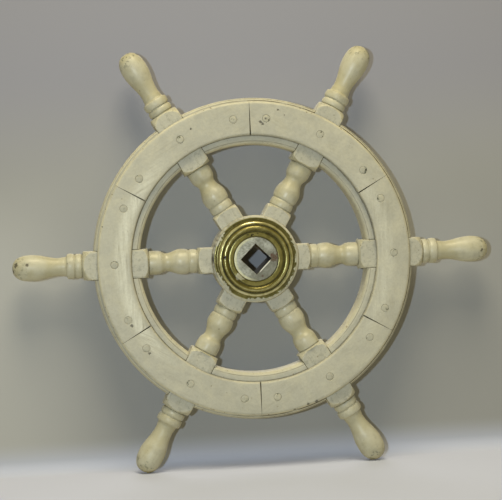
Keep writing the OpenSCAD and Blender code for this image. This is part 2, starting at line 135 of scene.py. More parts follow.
def draw(name: str, points: list[Vector], closed: bool = False) -> bpy.types.Object:
    """Draws an outline by extruding one vertex from point to point.

    Args:
        name: Name of the new piece.
        points: The outline in metres.
        closed: Whether the last point is joined to the first.

    Returns:
        The outline, open in edit mode and selected all over.
    """
    bpy.ops.object.select_all(action="DESELECT")
    bpy.ops.mesh.primitive_plane_add(size=MM)
    obj = named(bpy.context.object, name)
    bpy.ops.object.mode_set(mode="EDIT")
    bpy.ops.mesh.select_mode(type="VERT")
    bpy.ops.mesh.select_all(action="SELECT")
    bpy.ops.mesh.merge(type="CENTER")
    bpy.ops.transform.translate(value=points[0])
    line = points + [points[0]] if closed else points
    for here, there in zip(line, line[1:]):
        bpy.ops.mesh.extrude_region_move(TRANSFORM_OT_translate={"value": there - here})
    bpy.ops.mesh.select_all(action="SELECT")
    if closed:
        bpy.ops.mesh.remove_doubles(threshold=1e-7)
    return obj


def tidy(obj: bpy.types.Object, angle: float = 35.0) -> bpy.types.Object:
    """Merges doubles, turns the normals outwards and shades smooth up to an angle."""
    edit(obj, whole=True)
    bpy.ops.mesh.remove_doubles(threshold=1e-6)
    bpy.ops.mesh.normals_make_consistent(inside=False)
    only(obj)
    bpy.ops.object.shade_smooth_by_angle(angle=math.radians(angle))
    return obj


def spun(name: str, outline: list[tuple[float, float]], axis: str, steps: int) -> bpy.types.Object:
    """Spins an outline into a closed turned piece.

    Args:
        name: Name of the piece.
        outline: Stations along the axis and radii, in mm. If it does not start and end on the
            axis, it is closed.
        axis: X for a spoke, Y for a piece of the hub.
        steps: Facets round the piece.

    Returns:
        The piece.
    """
    along, out = (Vector((1, 0, 0)), Vector((0, 0, 1))) if axis == "X" else \
        (Vector((0, 1, 0)), Vector((1, 0, 0)))
    on_axis = outline[0][1] == 0 and outline[-1][1] == 0
    obj = draw(name, [along * s * MM + out * r * MM for s, r in outline], closed=not on_axis)
    bpy.ops.mesh.spin(steps=steps, angle=math.tau, center=(0, 0, 0), axis=along)
    return tidy(obj)


def cut(obj: bpy.types.Object, cutter: bpy.types.Object) -> None:
    """Cuts one object out of another and removes the cutter."""
    only(obj)
    mod = obj.modifiers.new("cut", "BOOLEAN")
    mod.operation, mod.solver, mod.object = "DIFFERENCE", "EXACT", cutter
    bpy.ops.object.modifier_apply(modifier=mod.name)
    bpy.data.objects.remove(cutter, do_unlink=True)


def joined(name: str, parts: list[bpy.types.Object]) -> bpy.types.Object:
    """Joins several objects into one with a new name."""
    only(parts[0])
    for part in parts[1:]:
        part.select_set(True)
    bpy.ops.object.join()
    return named(parts[0], name)


def copied(obj: bpy.types.Object, name: str) -> bpy.types.Object:
    """Copies a piece with its own mesh."""
    copy = named(bpy.data.objects.new(name, obj.data.copy()), name)
    bpy.context.scene.collection.objects.link(copy)
    return copy


def drum(radius: float, y_from: float, y_to: float, at: tuple[float, float] = (0, 0),
         steps: int = 48, radius_to: Optional[float] = None) -> bpy.types.Object:
    """A round cutter or stock along Y, in mm, with an own radius at its far end if asked."""
    bpy.ops.object.select_all(action="DESELECT")
    bpy.ops.mesh.primitive_cone_add(
        vertices=steps, radius1=radius * MM,
        radius2=(radius if radius_to is None else radius_to) * MM,
        depth=abs(y_to - y_from) * MM,
        location=(at[0] * MM, (y_from + y_to) / 2 * MM, at[1] * MM),
        rotation=(math.copysign(math.pi / 2, y_from - y_to), 0, 0))
    obj = bpy.context.object
    bpy.ops.object.transform_apply(location=True, rotation=True, scale=True)
    return obj


def slab(low: tuple[float, float, float], high: tuple[float, float, float]) -> bpy.types.Object:
    """A rectangular cutter between two corners, in mm."""
    bpy.ops.object.select_all(action="DESELECT")
    bpy.ops.mesh.primitive_cube_add(size=1)
    obj = bpy.context.object
    bpy.ops.object.mode_set(mode="EDIT")
    bpy.ops.transform.resize(value=[(h - l) * MM for l, h in zip(low, high)])
    bpy.ops.transform.translate(value=[(h + l) / 2 * MM for l, h in zip(low, high)])
    bpy.ops.object.mode_set(mode="OBJECT")
    return obj


def write(obj: bpy.types.Object, name: str, value: Callable[[Vector], object]) -> None:
    """Stores a value for each vertex as an attribute that the finishes read.

    Args:
        obj: The piece.
        name: Name of the attribute. The one named grain holds places, the others numbers.
        value: Gives the value at a place, in metres.
    """
    kind, key = ("FLOAT_VECTOR", "vector") if name == "grain" else ("FLOAT", "value")
    layer = obj.data.attributes.new(name, kind, "POINT")
    for vert, item in zip(obj.data.vertices, layer.data):
        setattr(item, key, value(vert.co))


def ease(x: float, low: float, high: float) -> float:
    """A soft step from 0 to 1 between two values."""
    t = min(1.0, max(0.0, (x - low) / (high - low)))
    return t * t * (3 - 2 * t)


def arc(n: int) -> list[float]:
    """Angles of n even steps of a quarter turn, both ends included."""
    return [math.pi / 2 * i / n for i in range(n + 1)]


# Shader tools

class Tree:
    """A short hand for adding and linking the nodes of a material or a node group."""

    def __init__(self, tree: bpy.types.NodeTree) -> None:
        """Keeps the tree and its output, and counts its nodes for their places."""
        self.tree = tree
        self.out: Optional[bpy.types.Node] = None
        self.count = 0

    def add(self, kind: str, inputs: Optional[dict] = None, **settings: object) -> bpy.types.Node:
        """Adds a node.

        Args:
            kind: Type name without its ShaderNode prefix.
            inputs: Values, or sockets to link from, by input name or index.
            settings: Properties of the node.

        Returns:
            The node.
        """
        node = self.tree.nodes.new(kind if kind.startswith("Node") else "ShaderNode" + kind)
        node.location = (self.count % 12 * 200, self.count // 12 * -260)
        self.count += 1
        for key, value in settings.items():
            setattr(node, key, value)
        for key, value in (inputs or {}).items():
            self.feed(node.inputs[key], value)
        return node

    def feed(self, socket: bpy.types.NodeSocket, value: object) -> None:
        """Links a socket from another one, or sets its value."""
        if isinstance(value, bpy.types.NodeSocket):
            self.tree.links.new(value, socket)
        else:
            socket.default_value = value

    def math(self, operation: str, a: object, b: object = 0.5, c: object = 0.5,
             clamp: bool = False) -> bpy.types.NodeSocket:
        """Adds a Math node and returns its result."""
        return self.add("Math", {0: a, 1: b, 2: c}, operation=operation, use_clamp=clamp).outputs[0]

    def times(self, a: object, b: object) -> bpy.types.NodeSocket:
        """Returns a product."""
        return self.math("MULTIPLY", a, b)

    def plus(self, a: object, b: object, clamp: bool = False) -> bpy.types.NodeSocket:
        """Returns a sum."""
        return self.math("ADD", a, b, clamp=clamp)

    def minus(self, a: object, b: object, clamp: bool = False) -> bpy.types.NodeSocket:
        """Returns a difference."""
        return self.math("SUBTRACT", a, b, clamp=clamp)

    def scaled(self, a: object, factor: object, shift: object) -> bpy.types.NodeSocket:
        """Returns a value times a factor, plus a shift."""
        return self.math("MULTIPLY_ADD", a, factor, shift)

    def most(self, a: object, b: object) -> bpy.types.NodeSocket:
        """Returns the larger of two values."""
        return self.math("MAXIMUM", a, b)

    def mix(self, factor: object, a: object, b: object) -> bpy.types.NodeSocket:
        """Mixes two colours and returns the result."""
        return self.add("Mix", {0: factor, 6: a, 7: b}, data_type="RGBA").outputs[2]

    def tint(self, colour: object, mask: object, share: object,
             tone: object) -> bpy.types.NodeSocket:
        """Lays a share of another tone over a colour where a mask is, and returns the result."""
        return self.mix(self.times(mask, share), colour, tone)

    def stored(self, name: str, output: str = "Fac") -> bpy.types.NodeSocket:
        """Reads an attribute of the mesh."""
        return self.add("Attribute", attribute_name=name).outputs[output]

    def axes(self, place: object) -> tuple[bpy.types.NodeSocket, ...]:
        """Splits a place into its X, Y and Z."""
        split = self.add("SeparateXYZ", {0: place})
        return tuple(split.outputs[axis] for axis in "XYZ")

    def from_axis(self, x: object, z: object) -> bpy.types.NodeSocket:
        """Returns the distance from the wheel's axis."""
        flat = self.add("CombineXYZ", {"X": x, "Z": z})
        return self.add("VectorMath", {0: flat.outputs[0]}, operation="LENGTH").outputs["Value"]

    def away(self, place: object, centre: object) -> bpy.types.NodeSocket:
        """Returns the distance between two places."""
        return self.add("VectorMath", {0: place, 1: centre}, operation="DISTANCE").outputs["Value"]

    def span(self, value: object, low: object, high: object, to_low: float = 0.0,
             to_high: float = 1.0) -> bpy.types.NodeSocket:
        """Maps a value softly from one range to another and returns the result."""
        node = self.add("MapRange", {"Value": value, "From Min": low, "From Max": high,
                                     "To Min": to_low, "To Max": to_high},
                        interpolation_type="SMOOTHSTEP")
        return node.outputs["Result"]

    def noise(self, vector: object, scale: object, detail: float = 3.0,
              roughness: float = 0.55) -> bpy.types.NodeSocket:
        """Adds a noise texture and returns its value."""
        return self.add("TexNoise", {"Vector": vector, "Scale": scale, "Detail": detail,
                                     "Roughness": roughness}).outputs["Fac"]

    def patches(self, place: object, scale: float, low: float, high: float, detail: float = 3.0,
                roughness: float = 0.55, to_low: float = 0.0,
                to_high: float = 1.0) -> bpy.types.NodeSocket:
        """Returns soft patches: a noise, mapped softly from one range to another."""
        return self.span(self.noise(place, scale, detail, roughness), low, high, to_low, to_high)

    def ring(self, radius: object, middle: float, half: float,
             full: float) -> bpy.types.NodeSocket:
        """Returns a soft ring about a radius, full within a share of its half width."""
        away = self.math("ABSOLUTE", self.minus(radius, middle))
        return self.span(away, half, half * full)

    def ramp(self, value: object, stops: list[tuple[float, object]]) -> bpy.types.NodeSocket:
        """Maps a value from 0 to 1 through stops of grey or colour.

        Args:
            value: The value.
            stops: Positions with a grey from 0 to 1 or a colour each.

        Returns:
            The colour.
        """
        node = self.add("ValToRGB", {0: value})
        elements = node.color_ramp.elements
        while len(elements) < len(stops):
            elements.new(0.5)
        for element, (at, tone) in zip(elements, stops):
            element.position = at
            element.color = tone if isinstance(tone, tuple) else (tone, tone, tone, 1.0)
        return node.outputs["Color"]

    def group(self, group: bpy.types.NodeTree, **inputs: object) -> bpy.types.Node:
        """Places a shared effect with its own values."""
        return self.add("Group", inputs=inputs, node_tree=group)

    def mask(self, group: bpy.types.NodeTree, place: object,
             **inputs: object) -> bpy.types.NodeSocket:
        """Places a shared effect that gives a mask and returns the mask."""
        return self.group(group, Vector=place, **inputs).outputs["Mask"]

    def blend(self, share: object, first: bpy.types.Node, second: bpy.types.Node,
              out: bpy.types.Node) -> None:
        """Sends two shaders to an output, the second one by its share."""
        mixed = self.add("MixShader", {0: share, 1: first.outputs[0], 2: second.outputs[0]})
        self.feed(out.inputs["Surface"], mixed.outputs[0])

    def finish(self, shader: bpy.types.Node, colour: object, metal: object, rough: object,
               height: object, strength: float, depth: float) -> None:
        """Feeds the shader its colour, metal, roughness and bump.

        Args:
            shader: The Principled shader.
            colour: Base colour.
            metal: Share of metal.
            rough: Roughness.
            height: Height of the relief.
            strength: Strength of the bump.
            depth: Depth of the relief in metres.
        """
        bump = self.add("Bump", {"Strength": strength, "Distance": depth, "Height": height})
        for name, value in (("Base Color", colour), ("Metallic", metal), ("Roughness", rough),
                            ("Normal", bump.outputs["Normal"])):
            self.feed(shader.inputs[name], value)


def new_group(name: str, inputs: dict[str, tuple[str, object]],
              outputs: list[str]) -> tuple[Tree, bpy.types.Node, bpy.types.Node]:
    """Starts a shared effect.

    Args:
        name: Name of the group.
        inputs: Socket kind and default by input name.
        outputs: Names of the float outputs.

    Returns:
        The tree, its input node and its output node.
    """
    group = bpy.data.node_groups.new(name, "ShaderNodeTree")
    for key, (kind, default) in inputs.items():
        socket = group.interface.new_socket(key, in_out="INPUT", socket_type="NodeSocket" + kind)
        socket.default_value = default
    for key in outputs:
        group.interface.new_socket(key, in_out="OUTPUT", socket_type="NodeSocketFloat")
    tree = Tree(group)
    return tree, tree.add("NodeGroupInput"), tree.add("NodeGroupOutput")


def grain_group() -> bpy.types.NodeTree:
    """Raised grain and brush strokes that run along the first axis of the vector."""
    tree, given, out = new_group("raised grain", {
        "Vector": ("Vector", (0, 0, 0)), "Stretch": ("Float", 0.08)}, ["Streaks", "Height"])
    squeeze = tree.add("CombineXYZ", {"X": given.outputs["Stretch"], "Y": 1.0, "Z": 1.0})
    vector = tree.add("VectorMath", {0: given.outputs["Vector"], 1: squeeze.outputs[0]},
                      operation="MULTIPLY").outputs[0]
    broad = tree.noise(vector, 260.0, 3.0)
    fine = tree.noise(vector, 900.0, 2.0)
    streaks = tree.plus(tree.times(broad, 0.65), tree.times(fine, 0.35))
    tree.feed(out.inputs["Streaks"], tree.span(streaks, 0.36, 0.64))
    tree.feed(out.inputs["Height"], streaks)
    return tree.tree


def speck_group() -> bpy.types.NodeTree:
    """Scattered small pits and specks of uneven size."""
    tree, given, out = new_group("specks", {
        "Vector": ("Vector", (0, 0, 0)), "Scale": ("Float", 120.0), "Size": ("Float", 0.12),
        "Share": ("Float", 0.2)}, ["Mask"])
    cells = tree.add("TexVoronoi", {"Vector": given.outputs["Vector"],
                                    "Scale": given.outputs["Scale"]}, feature="F1")
    chance = tree.add("SeparateColor", {0: cells.outputs["Color"]})
    kept = tree.math("LESS_THAN", chance.outputs[0], given.outputs["Share"])
    ragged = tree.noise(given.outputs["Vector"], 900.0, 2.0)
    reach = tree.times(given.outputs["Size"], tree.scaled(chance.outputs[1], 1.1, 0.35))
    away = tree.plus(cells.outputs["Distance"], tree.scaled(ragged, 0.16, -0.08))
    near = tree.minus(1.0, tree.math("DIVIDE", away, reach), clamp=True)
    tree.feed(out.inputs["Mask"], tree.times(kept, tree.span(near, 0.0, 0.5)))
    return tree.tree


def crevice_group() -> bpy.types.NodeTree:
    """Where two surfaces meet closely, broken up by a noise."""
    tree, given, out = new_group("crevices", {
        "Vector": ("Vector", (0, 0, 0)), "Reach": ("Float", 0.006), "Low": ("Float", 0.35),
        "High": ("Float", 0.9)}, ["Mask"])
    occlusion = tree.add("AmbientOcclusion", {"Distance": given.outputs["Reach"]}, samples=8)
    shut = tree.minus(1.0, occlusion.outputs["AO"])
    uneven = tree.scaled(tree.noise(given.outputs["Vector"], 180.0, 3.0), 0.5, -0.25)
    moved = tree.plus(shut, uneven)
    tree.feed(out.inputs["Mask"], tree.span(moved, given.outputs["Low"], given.outputs["High"]))
    return tree.tree


def spot_group() -> bpy.types.NodeTree:
    """One ragged spot at a place on a piece."""
    tree, given, out = new_group("spot", {
        "Vector": ("Vector", (0, 0, 0)), "Centre": ("Vector", (0, 0, 0)),
        "Radius": ("Float", 0.005), "Ragged": ("Float", 0.5), "Grain": ("Float", 400.0)}, ["Mask"])
    away = tree.away(given.outputs["Vector"], given.outputs["Centre"])
    noise = tree.noise(given.outputs["Vector"], given.outputs["Grain"], 3.0, 0.5)
    part = tree.math("DIVIDE", away, given.outputs["Radius"])
    rough = tree.times(tree.minus(noise, 0.5), given.outputs["Ragged"])
    tree.feed(out.inputs["Mask"], tree.span(tree.scaled(rough, 4.0, part), 1.15, 0.7))
    return tree.tree


@dataclass
class Effects:
    """The shared shader effects, built once."""

    grain: bpy.types.NodeTree = field(default_factory=grain_group)
    specks: bpy.types.NodeTree = field(default_factory=speck_group)
    crevices: bpy.types.NodeTree = field(default_factory=crevice_group)
    spot: bpy.types.NodeTree = field(default_factory=spot_group)


Colour = tuple[float, float, float, float]


def srgb(red: int, green: int, blue: int) -> Colour:
    """A colour written as it shows on a screen, 0 to 255, as Blender's linear values."""
    def line(value: int) -> float:
        """One channel."""
        part = value / 255
        return part / 12.92 if part <= 0.04045 else ((part + 0.055) / 1.055) ** 2.4
    return (line(red), line(green), line(blue), 1.0)


def new_material(name: str) -> tuple[bpy.types.Material, Tree, bpy.types.Node]:
    """A node material with an empty Principled shader.

    Args:
        name: Name of the material.

    Returns:
        The material, its tree and the shader.
    """
    material = bpy.data.materials.new(name)
    material.use_nodes = True
    material.node_tree.nodes.clear()
    tree = Tree(material.node_tree)
    shader = tree.add("BsdfPrincipled")
    tree.out = tree.add("OutputMaterial")
    tree.feed(tree.out.inputs["Surface"], shader.outputs[0])
    return material, tree, shader


@dataclass(frozen=True)
class Spot:
    """A ragged spot: its middle on the wheel and its radius in mm, how ragged it is, how fine."""

    at: tuple[float, float, float]
    radius: float
    ragged: float
    grain: float

    def mask(self, tree: Tree, fx: Effects, place: bpy.types.NodeSocket) -> bpy.types.NodeSocket:
        """Returns the spot as a mask."""
        return tree.mask(fx.spot, place, Centre=tuple(v * MM for v in self.at),
                         Radius=self.radius * MM, Ragged=self.ragged, Grain=self.grain)


@dataclass(frozen=True)
class PaintFinish:
    """Old cream paint over wood, greyer on the flats and yellower on turned work.

    A mark is a nail hole, a nick or a flake: its X, Y and Z on the wheel and its radius, in mm.
    A line is a fine groove along the rim's core: its radius and half its width in mm, and its share
    of dark on the left and on the right of the wheel, dirt in the groove and painted shade.
    """

    name: str
    flat: Colour = srgb(183, 182, 170)
    flat_pale: Colour = srgb(192, 191, 179)
    turned: Colour = srgb(197, 195, 177)
    turned_deep: Colour = srgb(178, 171, 134)
    cream: Colour = srgb(214, 209, 182)
    grime: Colour = srgb(150, 148, 132)
    dirt_and_shade: Colour = srgb(112, 99, 60)
    groove: Colour = srgb(86, 77, 46)
    dark: Colour = srgb(44, 38, 26)
    wood: Colour = srgb(120, 98, 66)
    scuff_and_shade_grey: Colour = srgb(104, 108, 94)
    sheen_white: Colour = srgb(222, 223, 212)
    marks: tuple[tuple[float, float, float, float], ...] = (
        (36.7, -26.2, 187.8, 1.5), (44.2, -26.2, 180.7, 0.9), (-192.3, -26.0, 48.9, 1.2),
        (-151.5, -24.5, 31.2, 2.3), (-160.0, -26.3, -77.4, 1.9), (-139.4, -26.2, -113.1, 1.7),
        (13.6, -26.2, 173.0, 1.8), (16.0, -26.2, 170.4, 1.5), (20.0, -26.4, 177.2, 1.3),
        (-75.0, -26.2, 167.3, 1.3), (42.1, -25.0, -196.6, 2.6), (71.0, -25.0, -185.4, 2.2),
        (60.2, -25.5, -188.3, 1.6), (-301.6, -10.5, 4.0, 3.2), (-287.8, -15.9, 4.2, 2.3),
        (-305.0, -5.0, -3.0, 3.0), (-238.7, -16.0, 4.1, 1.8), (-149.4, -9.0, -258.3, 3.0),
        (296.1, -13.5, -2.1, 2.2), (-147.0, -10.0, 259.0, 3.4), (90.8, -26.4, 156.8, 1.1),
        (146.4, -26.4, 107.4, 1.2), (-54.0, -25.5, 2.0, 3.2))
    lines: tuple[tuple[float, float, float, float], ...] = (
        (201.3, 1.0, 0.3, 0.95), (203.6, 0.6, 0.25, 0.8), (156.5, 0.7, 0.7, 0.7),
        (150.0, 0.6, 0.6, 0.6))

    def make(self, fx: Effects) -> bpy.types.Material:
        """Builds the material.

        Args:
            fx: The shared effects.

        Returns:
            The material.
        """
        material, tree, shader = new_material(self.name)
        place = tree.stored("grain", "Vector")
        lathe, edge = tree.stored("turned"), tree.stored("edge")
        grain = tree.group(fx.grain, Vector=place, Stretch=0.07)
        streaks, ridges = grain.outputs["Streaks"], grain.outputs["Height"]
        cloudy = tree.patches(place, 24.0, 0.32, 0.68, 4.0, 0.6)
        yellow = tree.patches(place, 48.0, 0.40, 0.70, 4.0, 0.6)
        brushed = tree.patches(place, 340.0, 0.36, 0.62, 4.0, 0.65)

        # The paint itself, on the flats and on the turned work
        # Painted sheen: a whiter, streaky band of paint along the inner part of the felloes stands
        # in for a reflection
        painted_sheen = tree.times(tree.stored("painted_sheen"), tree.span(streaks, 0.1, 0.9, 0.9, 0.45))
        flat = tree.mix(cloudy, self.flat, self.flat_pale)
        flat = tree.mix(painted_sheen, tree.tint(flat, yellow, 0.22, self.cream), self.sheen_white)
        turned = tree.tint(self.turned, yellow, 0.5, self.turned_deep)
        mottled = tree.patches(place, 85.0, 0.48, 0.66, 4.0, 0.65, 0.0, 0.3)
        colour = tree.mix(lathe, flat, tree.mix(mottled, turned, self.grime))
        colour = tree.mix(tree.span(tree.stored("hollow"), 0.0, 1.0, 0.0, 0.35), colour,
                          self.turned_deep)

        # Brush marks, a painted highlight along the edges, dirt in the grain, dark joints, and dirt
        # with painted shade in grooves and crevices
        colour = tree.tint(colour, tree.span(brushed, 0.0, 1.0, 0.13, 0.0),
                           tree.span(lathe, 0.0, 1.0, 1.0, 0.5), self.grime)
        streak = tree.times(tree.span(streaks, 0.35, 1.0),
                            tree.patches(place, 38.0, 0.46, 0.66, 2.0))
        colour = tree.tint(colour, streak, 0.11, self.dirt_and_shade)
        # Painted highlight: cream along the edges
        colour = tree.tint(colour, edge, tree.span(cloudy, 0.0, 1.0, 0.35, 0.8), self.cream)
        colour = tree.tint(colour, tree.stored("seam"), tree.span(cloudy, 0.0, 1.0, 1.0, 0.45),
                           self.dark)
        scratched = tree.times(tree.span(ridges, 0.60, 0.66), painted_sheen)
        colour = tree.tint(colour, scratched, 0.8, self.dirt_and_shade)
        colour = tree.mix(self.lined(tree), colour, self.groove)
        # Dirt and painted shade where surfaces meet closely, from an occlusion mask
        crease = tree.mask(fx.crevices, place, Reach=0.006, Low=0.34, High=1.0)
        colour = tree.tint(colour, crease, 0.8, self.dirt_and_shade)
        joint = tree.mask(fx.crevices, place, Reach=0.0016, Low=0.5, High=0.9)
        filled = tree.times(tree.patches(place, 130.0, 0.40, 0.62, 2.0, to_low=0.2),
                            tree.span(lathe, 0.2, 0.9, 0.95, 0.3))
        colour = tree.tint(colour, joint, filled, self.dark)

        # Pits, rubbed places and painted shade on the hub core's side, chips and single marks
        pits = tree.mask(fx.specks, place, Scale=95.0, Size=0.095, Share=0.16)
        colour = tree.tint(colour, pits, 0.7, self.dirt_and_shade)
        fine = tree.mask(fx.specks, place, Scale=260.0, Size=0.16, Share=0.14)
        colour = tree.tint(colour, fine, 0.35, self.dirt_and_shade)
        # Scuffed paint, and painted shade where the hub core's side wall and back are scuffed all
        # over
        scuff_and_shade_mask = tree.times(tree.patches(place, 210.0, 0.53, 0.63, 4.0, 0.65),
                             tree.stored("scuffs_and_shade"))
        colour = tree.mix(scuff_and_shade_mask, colour, self.scuff_and_shade_grey)
        chipped = tree.times(tree.patches(place, 330.0, 0.635, 0.68, 3.0, 0.6), edge)
        colour = tree.mix(chipped, colour, self.wood)
        marked = self.marked(tree)
        colour = tree.tint(colour, marked, 0.75, self.dark)

        gloss = tree.scaled(tree.stored("polish"), -0.06, tree.span(lathe, 0.0, 1.0, 0.46, 0.38))
        dull = tree.scaled(cloudy, 0.1, tree.scaled(crease, 0.3, gloss))
        height = tree.scaled(tree.noise(place, 70.0, 2.0), 2.2, tree.times(ridges, 0.6))
        height = tree.times(tree.scaled(brushed, 0.25, height),
                            tree.span(lathe, 0.0, 1.0, 1.0, 0.4))
        height = tree.minus(tree.scaled(pits, -1.2, height), tree.most(chipped, marked))
        tree.finish(shader, colour, 0.0, tree.plus(dull, tree.times(scuff_and_shade_mask, 0.2), clamp=True),
                    height, 0.6, 0.0006)
        return material

    def lined(self, tree: Tree) -> bpy.types.NodeSocket:
        """The dark of the fine grooves along the rim's core, dirt and painted shade that is
        stronger on the right, broken up, as one mask.
        """
        where = tree.add("TexCoord").outputs["Object"]
        x, _, z = tree.axes(where)
        radius = tree.from_axis(x, z)
        most: object = 0.0
        for middle, half, left, right in self.lines:
            # Painted shade: each line is given its own darkness on the left and on the right of the
            # wheel
            share = tree.span(x, -0.10, 0.06, left, right)
            line = tree.times(tree.ring(radius, middle * MM, half * MM, 0.25), share)
            most = tree.most(line, most)
        broken = tree.patches(where, 60.0, 0.32, 0.56, to_low=0.35)
        return tree.times(tree.times(most, tree.stored("grooved")), broken)

    def marked(self, tree: Tree) -> bpy.types.NodeSocket:
        """The nail holes, nicks and flakes at their places on the wheel, as one mask."""
        where = tree.add("TexCoord").outputs["Object"]
        ragged = tree.scaled(tree.noise(where, 520.0), 2.4, -1.2)
        nearest: object = 9.0
        for *at, radius in self.marks:
            away = tree.away(where, tuple(v * MM for v in at))
            nearest = tree.math("MINIMUM", tree.math("DIVIDE", away, radius * MM), nearest)
        return tree.span(tree.plus(nearest, ragged), 1.15, 0.75)


@dataclass(frozen=True)
class BrassFinish:
    """Tarnished brass, rubbed bright on raised mouldings with painted highlights there and painted
    shade in the grooves, with old paint in places.

    The tones give the brightness from 0 to 1 at radii in mm, tarnish together with painted
    highlight and shade.
    radius in mm from which paint is left, at angles in degrees from +X towards +Z.
    """

    name: str
    bright: Colour = srgb(208, 202, 158)
    gold: Colour = srgb(146, 138, 80)
    olive: Colour = srgb(104, 97, 44)
    dark: Colour = srgb(56, 46, 20)
    grime: Colour = srgb(38, 31, 14)
    paint: Colour = srgb(188, 187, 170)
    moulded: bool = True
    radius_low: float = 0.028
    radius_high: float = 0.056
    scraped_r: float = 0.0313
    smear: Spot = Spot((-21.5, -34.4, -21.2), 5.2, 0.6, 300.0)
    nick: Spot = Spot((-39.8, -36.2, 3.5), 2.1, 0.5, 500.0)
    tones_with_painted_light: tuple[tuple[float, float], ...] = (
        (28.2, 0.20), (29.2, 0.38), (30.2, 0.52), (33.8, 0.50), (34.5, 0.24), (35.3, 0.30),
        (37.4, 0.32), (38.6, 0.52), (40.0, 0.80), (41.0, 0.50), (42.4, 0.36), (43.5, 0.12),
        (44.2, 0.50), (45.6, 0.88), (47.0, 0.86), (48.2, 0.34), (50.8, 0.20), (51.8, 0.38),
        (52.5, 0.85))
    paint_inner: tuple[tuple[float, float], ...] = (
        (0, 51.4), (30, 52.0), (42, 54.0), (128, 54.4), (141, 51.4), (149, 49.4), (160, 51.0),
        (168, 55.5), (192, 55.5), (199, 49.4), (224, 48.8), (232, 53.4), (252, 54.0), (258, 50.0),
        (277, 49.6), (283, 51.8), (300, 51.2), (359, 51.4))

    def make(self, fx: Effects) -> bpy.types.Material:
        """Builds the material.

        Args:
            fx: The shared effects.

        Returns:
            The material.
        """
        material, tree, shader = new_material(self.name)
        place = tree.add("TexCoord").outputs["Object"]
        x, _, z = tree.axes(place)
        radius = tree.from_axis(x, z)
        mottle = tree.noise(place, 150.0, 5.0, 0.65)
        tone: object = 0.45
        if self.moulded:
            # Painted highlight and shade: brighter on the crests, darker in the grooves, by radius
            tone = tree.ramp(self.across(tree, radius), [
                (self.part(r), value) for r, value in self.tones_with_painted_light])
            # Painted light: the lower part of the plate is made lighter, as if lit from below
            tone = tree.plus(tone, tree.span(z, -0.030, -0.050, 0.0, 0.16))
        tone = tree.plus(tone, tree.scaled(mottle, 0.6, -0.3))
        tone = tree.plus(tone, tree.scaled(tree.noise(place, 46.0), 0.5, -0.25), clamp=True)
        colour = tree.ramp(tone, [(0.0, self.dark), (0.36, self.olive), (0.68, self.gold),
                                  (1.0, self.bright)])
        crease = tree.mask(fx.crevices, place, Reach=0.003, Low=0.3, High=0.9)
        colour = tree.tint(colour, crease, 0.8, self.grime)
        specks = tree.mask(fx.specks, place, Scale=230.0, Size=0.22, Share=0.2)
        colour = tree.tint(colour, specks, 0.7, self.grime)
        painted: object = 0.0
        if self.moulded:
            colour, painted = self.marks(tree, fx, place, radius, colour)
        metal = tree.times(tree.scaled(crease, -0.4, 0.5), tree.minus(1.0, painted))
        rough = tree.scaled(crease, 0.3, tree.scaled(mottle, 0.16, 0.2))
        height = tree.scaled(specks, -0.8, tree.noise(place, 420.0))
        tree.finish(shader, colour, metal, tree.scaled(tone, -0.08, rough),
                    tree.scaled(painted, 0.8, height), 0.4, 0.0004)
        return material

    def marks(self, tree: Tree, fx: Effects, place: bpy.types.NodeSocket,
              radius: bpy.types.NodeSocket, colour: bpy.types.NodeSocket
              ) -> tuple[bpy.types.NodeSocket, bpy.types.NodeSocket]:
        """Adds the paint left on the flange, the scrapes on the ring and the dark nick.

        Args:
            tree: The material's tree.
            fx: The shared effects.
            place: Place on the piece.
            radius: Distance from the wheel's axis.
            colour: Colour of the brass.

        Returns:
            The colour with the marks, and the share of paint.
        """
        x, _, z = tree.axes(place)
        turn = tree.math("DIVIDE", tree.math("ARCTAN2", z, x), math.tau)
        inner = tree.ramp(tree.math("FRACT", turn), [
            (angle / 360, self.part(r)) for angle, r in self.paint_inner])
        ragged = tree.scaled(tree.noise(place, 260.0, 4.0, 0.6), 0.36, -0.18)
        over = tree.minus(tree.plus(self.across(tree, radius), ragged), inner)
        top = tree.times(tree.span(z, 0.022, 0.030),
                         tree.ring(radius, self.scraped_r, 0.0030, 0.2))
        scraped = tree.times(tree.patches(place, 250.0, 0.57, 0.64), top)
        colour = tree.mix(scraped, colour, self.grime)
        painted = tree.most(tree.span(over, 0.0, 0.03),
                            tree.times(self.smear.mask(tree, fx, place), 0.7))
        yellow = tree.patches(place, 110.0, 0.45, 0.7, to_high=0.6)
        colour = tree.mix(painted, colour, tree.mix(yellow, self.paint, self.gold))
        return tree.mix(self.nick.mask(tree, fx, place), colour, self.grime), painted

    def part(self, radius: float) -> float:
        """A radius in mm as a share of the ramps' reach."""
        return (radius * MM - self.radius_low) / (self.radius_high - self.radius_low)

    def across(self, tree: Tree, radius: bpy.types.NodeSocket) -> bpy.types.NodeSocket:
        """The radius as a share of the ramps' reach."""
        return tree.math("DIVIDE", tree.minus(radius, self.radius_low),
                         self.radius_high - self.radius_low, clamp=True)


